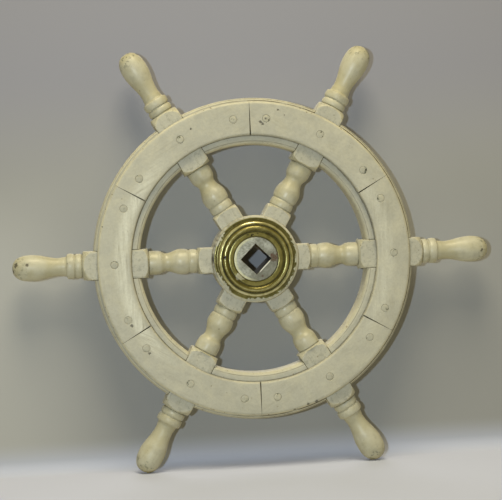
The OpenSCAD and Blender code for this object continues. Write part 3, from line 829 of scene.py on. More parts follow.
@dataclass(frozen=True)
class BushFinish:
    """Dull grey metal with rust spots and a bright edge round the socket, painted shade on its
    lower right and a painted highlight on its left.

    Across the socket, its walls and its rubbed edge fade out between two sums of the distances from
    the axis along X and Z, and the painted highlight round the face fades in between two radii.
    """

    name: str
    grey: Colour = srgb(144, 144, 132)
    pale: Colour = srgb(184, 185, 174)
    shade: Colour = srgb(96, 94, 80)
    bright: Colour = srgb(228, 228, 220)
    halo: Colour = srgb(206, 202, 162)
    rust: Colour = srgb(86, 56, 46)
    deep: Colour = srgb(116, 102, 64)
    black: Colour = srgb(22, 18, 14)
    large_spot: Spot = Spot((22.2, -34.0, 1.2), 5.4, 0.9, 420.0)
    small_spot: Spot = Spot((7.0, -34.0, -21.5), 1.5, 0.6, 500.0)
    walls: tuple[float, float] = (0.0232, 0.0222)
    rubbed: tuple[float, float] = (0.0216, 0.0206)
    halo_r: tuple[float, float] = (0.0242, 0.0258)

    def make(self, fx: Effects) -> bpy.types.Material:
        """Builds the material.

        Args:
            fx: The shared effects.

        Returns:
            The material.
        """
        material, tree, shader = new_material(self.name)
        place = tree.add("TexCoord").outputs["Object"]
        x, y, z = tree.axes(place)
        down_right = tree.minus(x, z)
        mottle = tree.patches(place, 330.0, 0.34, 0.66, 5.0, 0.7)
        colour = tree.mix(mottle, self.grey, self.pale)
        cloud = tree.patches(place, 75.0, 0.4, 0.66, 4.0, 0.6)
        colour = tree.tint(colour, cloud, 0.6, self.shade)
        # Painted shade: darker towards the right and the bottom
        right = tree.span(tree.scaled(z, -0.9, x), -0.004, 0.024, 0.0, 0.6)
        colour = tree.mix(right, colour, self.shade)
        specks = tree.mask(fx.specks, place, Scale=420.0, Size=0.26, Share=0.35)
        colour = tree.tint(colour, specks, 0.6, self.shade)
        rusty = tree.most(self.large_spot.mask(tree, fx, place),
                          self.small_spot.mask(tree, fx, place))
        speckled = tree.mix(tree.patches(place, 700.0, 0.45, 0.6), self.rust, self.shade)
        colour = tree.mix(rusty, colour, speckled)

        # The socket: its lower right edge rubbed bright, a painted highlight on the face's left,
        # dark walls inside
        diamond = tree.plus(tree.math("ABSOLUTE", x), tree.math("ABSOLUTE", z))
        inside = tree.times(tree.span(diamond, *self.walls), tree.span(y, -0.0336, -0.0326))
        wear = tree.times(tree.span(diamond, *self.rubbed), tree.span(down_right, 0.012, 0.016))
        along = tree.times(tree.span(x, 0.003, 0.005), tree.span(x, 0.0185, 0.0165))
        wear = tree.times(tree.times(wear, along), tree.span(y, -0.0330, -0.0334))
        colour = tree.mix(wear, colour, self.bright)
        # Painted highlight: a pale crescent round the left of the face
        halo = tree.times(tree.span(tree.from_axis(x, z), *self.halo_r),
                          tree.span(x, 0.004, -0.016))
        colour = tree.tint(colour, halo, 0.7, self.halo)
        crease = tree.mask(fx.crevices, place, Reach=0.002, Low=0.35, High=0.9)
        colour = tree.tint(colour, crease, tree.scaled(wear, -0.85, 0.85), self.black)
        wall = tree.mix(tree.span(down_right, 0.0, 0.012), self.deep, self.black)
        colour = tree.mix(inside, colour, wall)

        metal = tree.times(tree.scaled(rusty, -0.45, 0.45), tree.minus(1.0, inside))
        rough = tree.scaled(inside, 0.5, tree.scaled(mottle, 0.16, 0.36))
        height = tree.scaled(rusty, 0.6, tree.noise(place, 380.0, 4.0))
        tree.finish(shader, colour, metal, tree.scaled(rusty, 0.3, rough), height, 0.45, 0.0004)
        return material


def dress(obj: bpy.types.Object, material: bpy.types.Material, slot: Slot,
          *nodes: str) -> bpy.types.Object:
    """Gives a finished piece its finish and its body, and hides the CAD nodes that it stands for.
    """
    obj.data.materials.clear()
    obj.data.materials.append(material)
    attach(obj, "root")
    if nodes:
        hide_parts(*nodes)
    return obj


# The wheel's sub-assemblies

@dataclass
class Spokes:
    """Six spokes, each turned from one square blank. Lengths in mm."""

    paint: bpy.types.Material
    steps: int = 128
    seat: float = 50.0
    tenon_r: float = 10.0
    tenon_l: float = 17.0
    hub_half: float = 16.5
    hub_end: float = 72.0
    hub_shoulder: float = 7.0
    bead_r: float = 15.3
    bead_l: float = 9.2
    bulb_r: float = 16.4
    bulb_rise: float = 10.0
    waist_r: float = 11.5
    flare: float = 9.5
    ring_r: float = 15.4
    ring_l: float = 12.0
    rim_half: float = 18.25
    rim_start: float = 136.5
    rim_shoulder: float = 9.5
    rim_end: float = 218.0
    outer_shoulder: float = 15.0
    outer_bead_r: float = 15.8
    outer_bead_l: float = 8.0
    collar_r: float = 16.3
    collar_l: float = 9.5
    hollow_l: float = 4.0
    hollow_r: float = 12.2
    hollow_deep: float = 2.4
    neck_r: float = 11.5
    neck_l: float = 10.0
    handle_r: float = 16.7
    handle_end: float = 24.0
    handle_full: float = 2.4
    groove_r: float = 14.0
    groove_l: float = 1.3
    tip: float = 306.9
    corner_power: float = 26.0
    corner_r: float = 0.28
    polish_reach: tuple[float, float] = (150.0, 215.0)
    worn_reach: tuple[float, float] = (282.0, 305.0)

    def outline(self) -> list[tuple[float, float]]:
        """The spoke as the lathe leaves it.

        Returns:
            Stations and radii in mm, from the tenon to the tip.
        """
        groove, gap = self.groove_r, self.groove_l
        hub_corner = self.hub_half * math.sqrt(2) + 0.6
        rim_corner = self.rim_half * math.sqrt(2) + 0.6
        back = self.seat - self.tenon_l
        line: list[tuple[float, float]] = [
            (back, 0), (back, self.tenon_r - 0.8), (back + 0.8, self.tenon_r),
            (self.seat, self.tenon_r), (self.seat, hub_corner)]
        line += [(self.seat + x, hub_corner) for x in (3, 7, 10)]
        line += self.shoulder(self.hub_end - self.hub_shoulder, self.hub_shoulder,
                              self.hub_half, 14)
        line += self.groove(self.hub_end, gap, groove)
        bead_x = self.hub_end + gap
        line += self.bead(bead_x, self.bead_l, groove + 0.3, self.bead_r, 16)
        bulb_x = bead_x + self.bead_l + gap
        line += self.groove(bulb_x - gap, gap, groove)
        line += self.rise(bulb_x, self.bulb_rise, groove + 0.3, self.bulb_r, 12)
        ring_end = self.rim_start - 2 * gap
        ring_x = ring_end - self.ring_l
        waist_x = ring_x - self.flare
        line += self.sweep(bulb_x + self.bulb_rise, self.bulb_r, waist_x, self.waist_r, 22)
        line += self.sweep(waist_x, self.waist_r, ring_x, self.ring_r - 0.5, 12)
        line += self.bead(ring_x, self.ring_l, self.ring_r - 0.5, self.ring_r, 12)
        line += self.groove(ring_end, gap, groove)
        foot = ring_end + gap
        line += [(2 * foot + self.rim_shoulder - x, r) for x, r in reversed(
            self.shoulder(foot, self.rim_shoulder, self.rim_half, 18))]
        start = ring_end + gap + self.rim_shoulder
        end = self.rim_end - self.outer_shoulder
        line += [(start + (end - start) * i / 26, rim_corner) for i in range(1, 26)]
        line += self.shoulder(end, self.outer_shoulder, self.rim_half, 20)
        line += self.groove(self.rim_end, gap, groove)
        outer_x = self.rim_end + gap
        line += self.bead(outer_x, self.outer_bead_l, groove + 0.3, self.outer_bead_r, 16)
        collar_x = outer_x + self.outer_bead_l + gap
        line += self.groove(collar_x - gap, gap, groove)
        line += self.bead(collar_x, self.collar_l, self.collar_r - 1.5, self.collar_r, 16)
        hollow_x = collar_x + self.collar_l
        hollow_l, deep = self.hollow_l, self.hollow_deep
        line += [(hollow_x + hollow_l * (1 - math.cos(a)),
                  self.hollow_r + deep - deep * math.sin(a)) for a in arc(8)]
        neck_x = hollow_x + self.neck_l
        line += self.sweep(hollow_x + hollow_l, self.hollow_r, neck_x, self.neck_r, 8)
        line += self.sweep(neck_x, self.neck_r, self.tip - self.handle_end, self.handle_r, 24)
        power = 2 / self.handle_full
        line += [(self.tip - self.handle_end * (1 - math.sin(a) ** power),
                  self.handle_r * math.cos(a) ** power) for a in arc(30)[1:-1]]
        line.append((self.tip, 0.0))
        return line

    @staticmethod
    def shoulder(x: float, length: float, half: float, n: int) -> list[tuple[float, float]]:
        """A turned end that leaves a half ellipse on each flat of a block.

        Its radius falls from just over the block's corners to just under its flats.
        """
        over, under = 2.09, 0.95
        return [(x + length * i / n, half * math.sqrt(over - (over - under) * (i / n) ** 2))
                for i in range(n + 1)]

    @staticmethod
    def groove(x: float, length: float, radius: float) -> list[tuple[float, float]]:
        """A narrow turned groove, rounded by the paint in it."""
        return [(x + length * t, radius + 0.45 * abs(2 * t - 1) ** 2.5)
                for t in (0.08, 0.22, 0.36, 0.5, 0.64, 0.78, 0.92)]

    @staticmethod
    def bead(x: float, length: float, low: float, high: float, n: int) -> list[tuple[float, float]]:
        """A round bead that stands on a lower radius."""
        return [(x + length / 2 * (1 - math.cos(math.pi * i / n)),
                 low + (high - low) * math.sin(math.pi * i / n)) for i in range(n + 1)]

    @staticmethod
    def rise(x: float, length: float, low: float, high: float, n: int) -> list[tuple[float, float]]:
        """A quarter ellipse that rises."""
        return [(x + length * (1 - math.cos(a)), low + (high - low) * math.sin(a)) for a in arc(n)]

    @staticmethod
    def sweep(x: float, r: float, to_x: float, to_r: float, n: int) -> list[tuple[float, float]]:
        """A smooth run from one radius to another."""
        return [(x + (to_x - x) * i / n, r + (to_r - r) * (1 - math.cos(math.pi * i / n)) / 2)
                for i in range(1, n + 1)]

    def flat(self, co: Vector, half: float) -> float:
        """Distance from the axis to the softened square round a block, in mm."""
        turn = math.atan2(co.z, co.y)
        power = self.corner_power
        return half / (abs(math.cos(turn)) ** power + abs(math.sin(turn)) ** power) ** (1 / power)

    def half_at(self, x: float) -> float:
        """Half width of the square at a station, or 0 where the spoke is round, in mm."""
        if self.seat - 0.01 <= x <= self.hub_end:
            return self.hub_half
        if self.rim_start - 0.01 <= x <= self.rim_end:
            return self.rim_half
        return 0.0

    def master(self) -> bpy.types.Object:
        """Spins the outline and planes the two blocks square.

        Returns:
            The spoke along +X.
        """
        obj = spun("spoke_master", self.outline(), "X", self.steps)
        lathe, edges = [], []
        for vert in obj.data.vertices:
            x = vert.co.x / MM
            r = math.hypot(vert.co.y, vert.co.z) / MM
            half = self.half_at(x)
            if half and r > self.tenon_r + 0.5:
                square = self.flat(vert.co, half)
                k = self.corner_r
                new = min(r, square) - k * math.log(1 + math.exp(-abs(r - square) / k))
                vert.co.y *= new / r
                vert.co.z *= new / r
                lathe.append(1.0 - ease(r - square, -0.3, 0.7))
                low, high = sorted((abs(vert.co.y), abs(vert.co.z)))
                edges.append(max(0.7 * ease(low / high, 0.86, 0.98),
                                 0.9 - 0.9 * ease(abs(r - square - 0.2), 0.2, 1.4)))
            else:
                lathe.append(1.0)
                edges.append(0.0)
        for name, values in (("turned", lathe), ("edge", edges)):
            layer = obj.data.attributes.new(name, "FLOAT", "POINT")
            layer.data.foreach_set("value", values)
        write(obj, "hollow", lambda co: 1.0 - ease(
            math.hypot(co.y, co.z) / MM, self.waist_r + 0.8, self.groove_r + 1.4))
        write(obj, "polish", lambda co: 1.0 - ease(co.x / MM, *self.polish_reach))
        obj.data.update()
        return tidy(obj, 40.0)

    def build(self) -> list[bpy.types.Object]:
        """Copies the master to the six places and dresses each.

        Returns:
            The spokes.
        """
        master = self.master()
        rng = random.Random(11)
        pieces = []
        for i in range(SPOKES):
            piece = copied(master, f"spoke_{i + 1}_turned")
            shift = Vector((rng.random(), rng.random(), rng.random()))
            write(piece, "grain", lambda co, s=shift: co + s)
            write(piece, "scuffs_and_shade", lambda co: 0.28 if self.half_at(co.x / MM)
                  else ease(co.x / MM, *self.worn_reach) * 0.9)
            piece.data.transform(to_spoke(i))
            pieces.append(dress(piece, self.paint, Slot.PAINT, f"spoke_{i + 1}"))
        bpy.data.objects.remove(master, do_unlink=True)
        return pieces


@dataclass
class Rim:
    """Three layers of felloes with their plugs. Lengths in mm."""

    paint: bpy.types.Material
    plug_paint: bpy.types.Material
    core_out: float = 205.0
    core_in: float = 146.0
    core_round: float = 6.0
    face_out: float = 200.0
    face_in: float = 157.0
    half: float = 18.25
    face_t: float = 8.0
    out_round: float = 4.0
    in_round: float = 3.0
    crown: float = 0.5
    quirk: float = 0.8
    quirk_h: float = 1.0
    plug_at: float = 178.5
    plug_r: float = 4.75
    plug_depth: float = 3.2
    plug_turn: float = 6.8
    joint_in: float = 0.62
    joint_out: float = 0.06
    core_gap: float = 0.15
    worn_width: float = 3.5
    sheen_from: float = 159.0
    sheen_to: float = 182.0
    groove_front: float = 14.0
    plug_sunk: float = 0.35
    plug_steps: tuple[float, float] = (0.6, 1.6)
    plug_rise: tuple[float, float] = (0.25, 0.5)
    plug_dome: float = 0.1
    plug_tilt: float = 0.03
    pieces: list[bpy.types.Object] = field(default_factory=list)

    def front(self) -> float:
        """Height of the front felloes over the middle plane."""
        return self.half + self.face_t

    def face_section(self) -> list[tuple[float, float]]:
        """Cross-section of a front felloe.

        Returns:
            Radii and heights over the middle plane, in mm.
        """
        out, inn, top = self.face_out, self.face_in, self.front()
        quirk, foot, ledge = self.quirk, self.half + self.quirk_h * 0.8, self.half + self.quirk_h
        line = [(inn + quirk, self.half), (out - quirk, self.half), (out - quirk, foot),
                (out - 0.3, ledge), (out, ledge + 0.3)]
        for a in arc(9)[1:]:
            r = out - self.out_round + self.out_round * math.cos(a)
            line.append((r, top - self.out_round + self.out_round * math.sin(a)
                         - self.sag(r) * math.sin(a)))
        for i in range(1, 16):
            r = out - self.out_round + (inn + self.in_round - out + self.out_round) * i / 16
            line.append((r, top - self.sag(r)))
        for a in arc(8):
            r = inn + self.in_round - self.in_round * math.sin(a)
            line.append((r, top - self.in_round + self.in_round * math.cos(a)
                         - self.sag(r) * math.cos(a)))
        return line + [(inn, ledge + 0.3), (inn + 0.3, ledge), (inn + quirk, foot)]

    def sag(self, r: float) -> float:
        """How far the crowned top of a front felloe lies lower at a radius, in mm."""
        out, inn = self.face_out, self.face_in
        return self.crown * ((r - (out + inn) / 2) / ((out - inn) / 2)) ** 2

    def core_section(self) -> list[tuple[float, float]]:
        """Cross-section of a core felloe.

        Returns:
            Radii and heights over the middle plane, in mm.
        """
        out, inn, top, e = self.core_out, self.core_in, self.half, self.core_round
        line = [(out - e + e * math.cos(a), top - e + e * math.sin(a)) for a in arc(9)]
        line += [(out - e + (inn - out + 2 * e) * i / 8, top) for i in range(1, 8)]
        line += [(inn + e - e * math.sin(a), top - e + e * math.cos(a)) for a in arc(9)]
        line += [(inn + e - e * math.cos(a), -top + e - e * math.sin(a)) for a in arc(9)]
        line += [(inn + e + (out - inn - 2 * e) * i / 8, -top) for i in range(1, 8)]
        line += [(out - e + e * math.sin(a), -top + e - e * math.cos(a)) for a in arc(9)]
        return line

    @staticmethod
    def swept(name: str, section: list[tuple[float, float]], start: float, turn: float,
              steps: int) -> bpy.types.Object:
        """Spins a section through part of a turn about the wheel's axis and closes its ends.

        Args:
            name: Name of the piece.
            section: Radii and heights, in mm.
            start: Angle of the first end, in radians.
            turn: Angle that the piece spans.
            steps: Steps of the spin.

        Returns:
            The piece.
        """
        obj = draw(name, [Vector((r * math.cos(start), -h, r * math.sin(start))) * MM
                          for r, h in section], closed=True)
        bpy.ops.mesh.spin(steps=steps, angle=turn, center=(0, 0, 0), axis=(0, 1, 0))
        for end in (start, start + turn):
            side = Vector((-math.sin(end), 0, math.cos(end)))
            pick(obj, lambda co, n=side, e=end: abs(co.dot(n)) < 1e-6
                 and co.x * math.cos(e) + co.z * math.sin(e) > 0)
            bpy.ops.mesh.edge_face_add()
        bpy.ops.object.mode_set(mode="OBJECT")
        return tidy(obj)

    def face_master(self) -> bpy.types.Object:
        """A front felloe centred on +X, with its three plug holes.

        Returns:
            The felloe.
        """
        obj = self.swept("face_master", self.face_section(), -STEP / 2, STEP, 36)
        for vert in obj.data.vertices:
            r = math.hypot(vert.co.x, vert.co.z)
            turn = math.atan2(vert.co.z, vert.co.x)
            gap = self.joint_gap(r / MM) * MM
            turn *= 1 - gap / (r * STEP / 2)
            vert.co.x, vert.co.z = r * math.cos(turn), r * math.sin(turn)
        side = math.tan(STEP / 2 - math.radians(0.5))
        soften(obj, lambda co: abs(co.z) > co.x * side, 0.3)
        top, plug_r = -self.front(), self.plug_r
        holes = [drum(plug_r + 0.12, top - 1, top + self.plug_depth, at)
                 for at in self.plug_places()]
        holes += [drum(plug_r + 1.3, top - 0.7, top + 0.55, at, radius_to=plug_r)
                  for at in self.plug_places()]
        for hole in holes:
            cut(obj, hole)
        return tidy(obj, 32.0)

    def plug_places(self) -> list[tuple[float, float]]:
        """Middles of the three plugs of the felloe on +X, as X and Z in mm."""
        turns = [-STEP / 2 + math.radians(self.plug_turn), 0.0,
                 STEP / 2 - math.radians(self.plug_turn)]
        return [(self.plug_at * math.cos(t), self.plug_at * math.sin(t)) for t in turns]

    def core_master(self) -> bpy.types.Object:
        """A core felloe from spoke 1 to spoke 2, cut parallel to the spokes' sides.

        Returns:
            The felloe, centred on +X.
        """
        obj = self.swept("core_master", self.core_section(), -STEP / 2, STEP, 32)
        away = (self.half + self.core_gap) * MM
        for sign in (-1, 1):
            end = sign * STEP / 2
            normal = Vector((-math.sin(end), 0, math.cos(end))) * sign
            edit(obj, whole=True)
            bpy.ops.mesh.bisect(plane_co=-normal * away, plane_no=normal, use_fill=True,
                                clear_outer=True)
            soften(obj, lambda co, n=normal: abs(co.dot(n) + away) < 2e-6, 0.35)
        return tidy(obj)

    def edge_of_face(self, co: Vector) -> float:
        """How near a place on a front felloe is to a long edge."""
        r, out, inn = wheel_r(co), self.face_out, self.face_in
        return max(ease(r, out - self.worn_width, out - 0.5),
                   0.4 * ease(-r, -inn - 3.0, -inn - 0.4))

    def sheen_of_face(self, co: Vector) -> float:
        """How strong the painted sheen is, a whiter paint that stands in for a reflection: along
        the inside of the felloe on the left.
        """
        r = wheel_r(co)
        side = co.x / max(r * MM, 1e-6)
        inner = (ease(-r, -self.sheen_to, 11.0 - self.sheen_to)
                 * ease(r, self.sheen_from, self.sheen_from + 7.0))
        return inner * max(ease(-side, 0.55, 0.93), 0.5 * ease(side, 0.7, 0.95))

    def joint_gap(self, r: float) -> float:
        """Half the width of the joint between two front felloes at a radius, in mm."""
        wide = self.joint_out - self.joint_in
        return self.joint_in + wide * ease(r, self.face_in, self.face_out)

    def seam_of_face(self, co: Vector) -> float:
        """How deep a place is in a joint, or in the quirk at the foot of a front felloe, with dirt
        and painted shade on the rounded inner edge.
        """
        r, h = wheel_r(co), -co.y / MM
        inside = min(self.face_out - r, r - self.face_in)
        if h < self.half + self.quirk_h + 0.35 and inside < self.quirk + 0.1:
            return 1.0
        away = (STEP / 2 - abs(math.atan2(co.z, co.x))) * r - self.joint_gap(r)
        outer = ease(r, self.face_in + 19.0, self.face_out)
        joint = (1.0 - ease(away, 0.02, 0.28)) * (1.0 - 0.5 * outer)
        # Dirt and painted shade on the rounded inner edge of the felloe
        shade_and_dirt_inside = 0.2 * ease(-r, -self.face_in - 1.6, -self.face_in - 0.2)
        return max(joint, shade_and_dirt_inside)

    def edge_of_core(self, co: Vector) -> float:
        """How near a place on a core felloe is to a long edge."""
        r = wheel_r(co)
        return 0.7 * max(ease(r, self.core_out - 5, self.core_out),
                         ease(-r, -self.core_in - 5, -self.core_in))

    def groove_of_core(self, co: Vector) -> float:
        """Where a core felloe shows the fine lines: on its front and its sides."""
        return float(co.y < self.groove_front * MM)

    def lay(self, master: bpy.types.Object, node: str, ending: str, count: float,
            rng: random.Random, face: Face = Face.FRONT,
            **wear: Callable[[Vector], float]) -> None:
        """Copies a felloe to its place and dresses it.

        Args:
            master: The felloe on +X.
            node: CAD node that it stands for.
            ending: What the name of the piece adds to the node's.
            count: Spokes that it is turned past.
            rng: Source of the shift of its pattern.
            face: Which way it looks.
            wear: Gives the wear at a place of the master, by attribute.
        """
        piece = copied(master, f"{node}_{ending}")
        shift = Vector((rng.random(), rng.random(), rng.random()))
        write(piece, "grain", lambda co: Vector((co.z, co.x, co.y)) + shift)
        for attribute, value in wear.items():
            write(piece, attribute, value)
        piece.data.transform(to_spoke(count) @ face.over())
        write(piece, "painted_sheen", self.sheen_of_face)
        self.pieces.append(dress(piece, self.paint, Slot.PAINT, node))

    def plug(self, at: tuple[float, float], place: Matrix, rng: random.Random) -> bpy.types.Object:
        """One domed plug, tilted a little, with its paint rubbed on one side.

        Args:
            at: Its middle on the front felloe on +X, as X and Z in mm.
            place: Turns it to its felloe.
            rng: Source of its height, tilt and wear.

        Returns:
            The plug.
        """
        (x, z), top = at, -self.front()
        part = drum(self.plug_r, top + self.plug_depth - 0.02, top + self.plug_sunk, at, steps=32)
        edit(part)
        pick(part, lambda co: co.y < (top + self.plug_sunk + 0.05) * MM, "FACE")
        bpy.ops.mesh.inset(thickness=self.plug_steps[0] * MM)
        bpy.ops.transform.translate(value=(0, -rng.uniform(*self.plug_rise) * MM, 0))
        bpy.ops.mesh.inset(thickness=self.plug_steps[1] * MM)
        bpy.ops.transform.translate(value=(0, -self.plug_dome * MM, 0))
        tilt = Matrix.Rotation(rng.uniform(-self.plug_tilt, self.plug_tilt), 4, "Z")
        only(part)
        middle = Matrix.Translation(Vector((x, top, z)) * MM)
        part.data.transform(middle @ tilt @ middle.inverted())
        part.data.transform(place)
        turn = rng.uniform(0, math.tau)
        centre = place @ Vector((x, 0, z)) * MM
        way = Vector((math.cos(turn), 0, math.sin(turn)))
        write(part, "scuffs_and_shade", lambda co: ease(
            Vector((co.x - centre.x, 0, co.z - centre.z)).dot(way) / MM, 0.2, 3.4) * 1.7)
        return part

    def plugs(self, face: Face, rng: random.Random) -> None:
        """Fills the plug holes of one side with one piece of 18 plugs."""
        parts = [self.plug(at, to_spoke(i) @ face.over(), rng)
                 for i in range(SPOKES) for at in self.plug_places()]
        piece = tidy(joined(f"{face.value}_plugs_domed", parts), 50.0)
        write(piece, "grain", lambda co: Vector((co.y, co.z, co.x)))
        self.pieces.append(dress(piece, self.plug_paint, Slot.PLUG, f"{face.value}_plugs"))

    def build(self) -> list[bpy.types.Object]:
        """Builds the three layers and the plugs.

        Returns:
            The pieces of the rim.
        """
        rng = random.Random(23)
        core = self.core_master()
        felloe = self.face_master()
        for i in range(SPOKES):
            self.lay(core, f"core_felloe_{i + 1}", "rounded", i + 0.5, rng,
                     edge=self.edge_of_core, grooved=self.groove_of_core)
            for side in Face:
                self.lay(felloe, f"{side.value}_felloe_{i + 1}", "softened", i, rng, side,
                         edge=self.edge_of_face, seam=self.seam_of_face)
        for master in (core, felloe):
            bpy.data.objects.remove(master, do_unlink=True)
        for side in Face:
            self.plugs(side, rng)
        return self.pieces


@dataclass
class Hub:
    """Wooden core, two brass plates, bush and bolts. Lengths in mm, depths along -Y."""

    paint: bpy.types.Material
    brass: bpy.types.Material
    rear_brass: bpy.types.Material
    bush_metal: bpy.types.Material
    bolt_brass: bpy.types.Material
    core_r: float = 55.5
    half: float = 25.0
    plate_r: float = 52.7
    bush_r: float = 26.0
    flange_r: float = 28.0
    flange_t: float = 3.2
    front: float = 34.0
    rear: float = -30.0
    housing_from: float = 50.0
    housing_half: float = 16.65
    mortise_r: float = 10.1
    mortise: tuple[float, float] = (32.0, 50.0)
    socket_front: float = 27.5
    socket_rear: float = 30.0
    socket_reach: float = 22.0
    bolt_at: float = 41.0
    bolt_r: float = 3.0
    bolt_end: float = 4.5
    head_r: float = 5.75
    head_h: float = 3.0
    slot_half: float = 0.6
    slot_depth: float = 0.95

    def bolt_places(self) -> list[tuple[float, float]]:
        """Middles of the bolts, as X and Z in mm."""
        turns = [(i + 0.5) * STEP for i in range(SPOKES)]
        return [(self.bolt_at * math.cos(t), self.bolt_at * math.sin(t)) for t in turns]

    def drill(self, obj: bpy.types.Object, y_from: float, y_to: float) -> None:
        """Cuts the six bolt holes between two depths."""
        for at in self.bolt_places():
            cut(obj, drum(self.bolt_r + 0.1, y_from, y_to, at, steps=24))

    def wooden_core(self) -> bpy.types.Object:
        """The hub core with housings, mortises and bolt holes.

        Returns:
            The piece.
        """
        r, h, e, bore = self.core_r, self.half, 2.5, self.bush_r + 0.1
        back = r - 0.8
        line = [(h, bore)]
        line += [(h - e + e * math.cos(a), back - e + e * math.sin(a)) for a in arc(6)]
        line += [(-h + e - e * math.sin(a), r - e + e * math.cos(a)) for a in arc(6)] + [(-h, bore)]
        obj = spun("hub_core_carved", line, "Y", 128)
        near, far = self.mortise
        side = self.housing_half
        for i in range(SPOKES):
            housing = slab((self.housing_from, -side, -side), (r + 4.5, side, side))
            mortise = drum(self.mortise_r, (near - far) / 2, (far - near) / 2)
            mortise.data.transform(Matrix.Translation(((near + far) / 2 * MM, 0, 0))
                                   @ Matrix.Rotation(math.pi / 2, 4, "Z"))
            for cutter in (housing, mortise):
                cutter.data.transform(to_spoke(i))
                cut(obj, cutter)
        self.drill(obj, h + 1, -h - 1)
        tidy(obj)
        rng = random.Random(7)
        spots = [rng.uniform(0.1, 0.95) for _ in range(120)]
        write(obj, "grain", lambda co: Vector((co.x + 0.3, co.z + 0.1, co.y + 0.7)))
        write(obj, "turned", lambda co: 0.1)
        # Scuffs on the front; on the side wall and the back, darker scuffed paint is painted shade
        write(obj, "scuffs_and_shade", lambda co: 0.3 + 0.7 * ease(co.y / MM, -24.0, -21.0))
        write(obj, "edge", lambda co: 0.6 * ease(wheel_r(co), r - 2.5, r - 0.5))
        write(obj, "seam", lambda co: self.bare(co, spots))
        return dress(obj, self.paint, Slot.PAINT, "hub_core")

    @staticmethod
    def bare(co: Vector, spots: list[float]) -> float:
        """Dark spots where the paint is off the core's front edge, on the upper left.

        Args:
            co: Place on the core.
            spots: How bare it is, by even steps of the whole turn.

        Returns:
            How bare the place is, from 0 to 1.
        """
        turn = math.degrees(math.atan2(co.z, co.x)) % 360
        where = ease(turn, 95, 130) * ease(-turn, -214, -200) * ease(-co.y / MM, 21.0, 23.0)
        return where * spots[int(turn / (360 / len(spots)))]

    def front_plate(self) -> bpy.types.Object:
        """The moulded front plate.

        Returns:
            The piece.
        """
        # Radii from the rim inwards, then heights over the wooden core
        base, ro, flange_in, band_in = self.half, self.plate_r, 48.1, 43.7
        bead_out, bead_in, ring_out = 43.0, 35.4, 34.7
        bead_mid, bead_half = (bead_out + bead_in) / 2, (bead_out - bead_in) / 2
        bore, recess, scoop = self.bush_r + 0.1, self.flange_r + 0.15, 4.0
        flange, foot, band, bead, ring, recess_h = 2.8, 4.0, 7.6, 11.2, 9.4, 5.8
        low_out, low_in = band - 1.2, ring - 1.2
        line = [(0.0, bore), (0.0, ro), (flange - 0.7, ro), (flange - 0.2, ro - 0.25),
                (flange, ro - 0.8), (flange, ro - 1.2), (flange - 0.12, flange_in + 1.3),
                (flange - 0.15, flange_in + 0.9), (flange + 0.1, flange_in + 0.2),
                (foot, flange_in)]
        line += [(foot + (band - foot) * math.sin(a), flange_in - scoop * (1 - math.cos(a)))
                 for a in arc(12)[1:]]
        line += [(band - 0.1, band_in + 0.15), (low_out, band_in - 0.1), (low_out, bead_out + 0.1)]
        line += [(low_out + (bead - low_out) * math.sin(a), bead_mid + bead_half * math.cos(a))
                 for a in arc(14)]
        line += [(low_in + (bead - low_in) * math.cos(a), bead_mid - bead_half * math.sin(a))
                 for a in arc(14)[1:]]
        line += [(low_in, ring_out), (ring - 0.7, ring_out - 0.1), (ring - 0.15, ring_out - 0.6),
                 (ring, ring_out - 1.4), (ring, ring_out - 2.0), (ring, recess + 1.6),
                 (ring, recess + 1.0), (ring - 0.2, recess + 0.4),
                 (ring - 0.8, recess), (recess_h, recess), (recess_h, bore)]
        obj = spun("front_hub_plate_moulded", [(-(base + h), r) for h, r in line], "Y", 160)
        self.drill(obj, -base + 1, -base - 5.5)
        return dress(tidy(obj, 40.0), self.brass, Slot.BRASS, "front_hub_plate")

    def rear_plate(self) -> bpy.types.Object:
        """The plain rear plate, countersunk for the bolts.

        Returns:
            The piece.
        """
        ri, ro, c, y0, y1 = self.bush_r + 0.1, self.plate_r, 1.5, self.half, -self.rear
        line = [(y0, ri), (y0, ro), (y1 - c, ro), (y1 - 0.5, ro - 0.6), (y1, ro - c),
                (y1, ri + 0.5), (y1 - 0.5, ri)]
        over, slope = 0.5, (self.head_r - self.bolt_r) / self.head_h
        obj = spun("rear_hub_plate_turned", line, "Y", 144)
        for at in self.bolt_places():
            cut(obj, drum(self.bolt_r + 0.1, y0 - 1, y1 + 1, at, steps=32))
            cut(obj, drum(self.bolt_r + 0.1, y1 - self.head_h, y1 + over, at,
                          radius_to=self.head_r + 0.1 + over * slope))
        return dress(tidy(obj), self.rear_brass, Slot.BRASS, "rear_hub_plate")

    def bush(self) -> bpy.types.Object:
        """The bush with its flange and its tapered square socket.

        Returns:
            The piece.
        """
        f, r, y0, y1 = self.flange_r, self.bush_r, -self.front, -self.rear
        line = [(y1, 0), (y1, r - 0.5), (y1 - 0.5, r), (y0 + self.flange_t, r),
                (y0 + self.flange_t, f), (y0 + 0.6, f), (y0 + 0.15, f - 0.25), (y0, f - 0.7),
                (y0, f - 1.2), (y0, f - 1.7), (y0, 0)]
        obj = spun("hub_bush_bored", line, "Y", 128)
        over, front, rear = 1.0, self.socket_front, self.socket_rear
        taper = (rear - front) / (y1 - y0)
        front_r, rear_r = ((w + way * taper * over) / math.sqrt(2)
                           for w, way in ((front, -1), (rear, 1)))
        cut(obj, drum(rear_r, y1 + over, y0 - over, steps=4, radius_to=front_r))
        tidy(obj, 30.0)
        for y, width in ((y0, 0.5), (y1, 0.7)):
            soften(obj, lambda co, at=y: abs(co.y / MM - at) < 0.01
                   and abs(co.x) + abs(co.z) < self.socket_reach * MM, width)
        return dress(tidy(obj, 30.0), self.bush_metal, Slot.BUSH, "hub_bush")

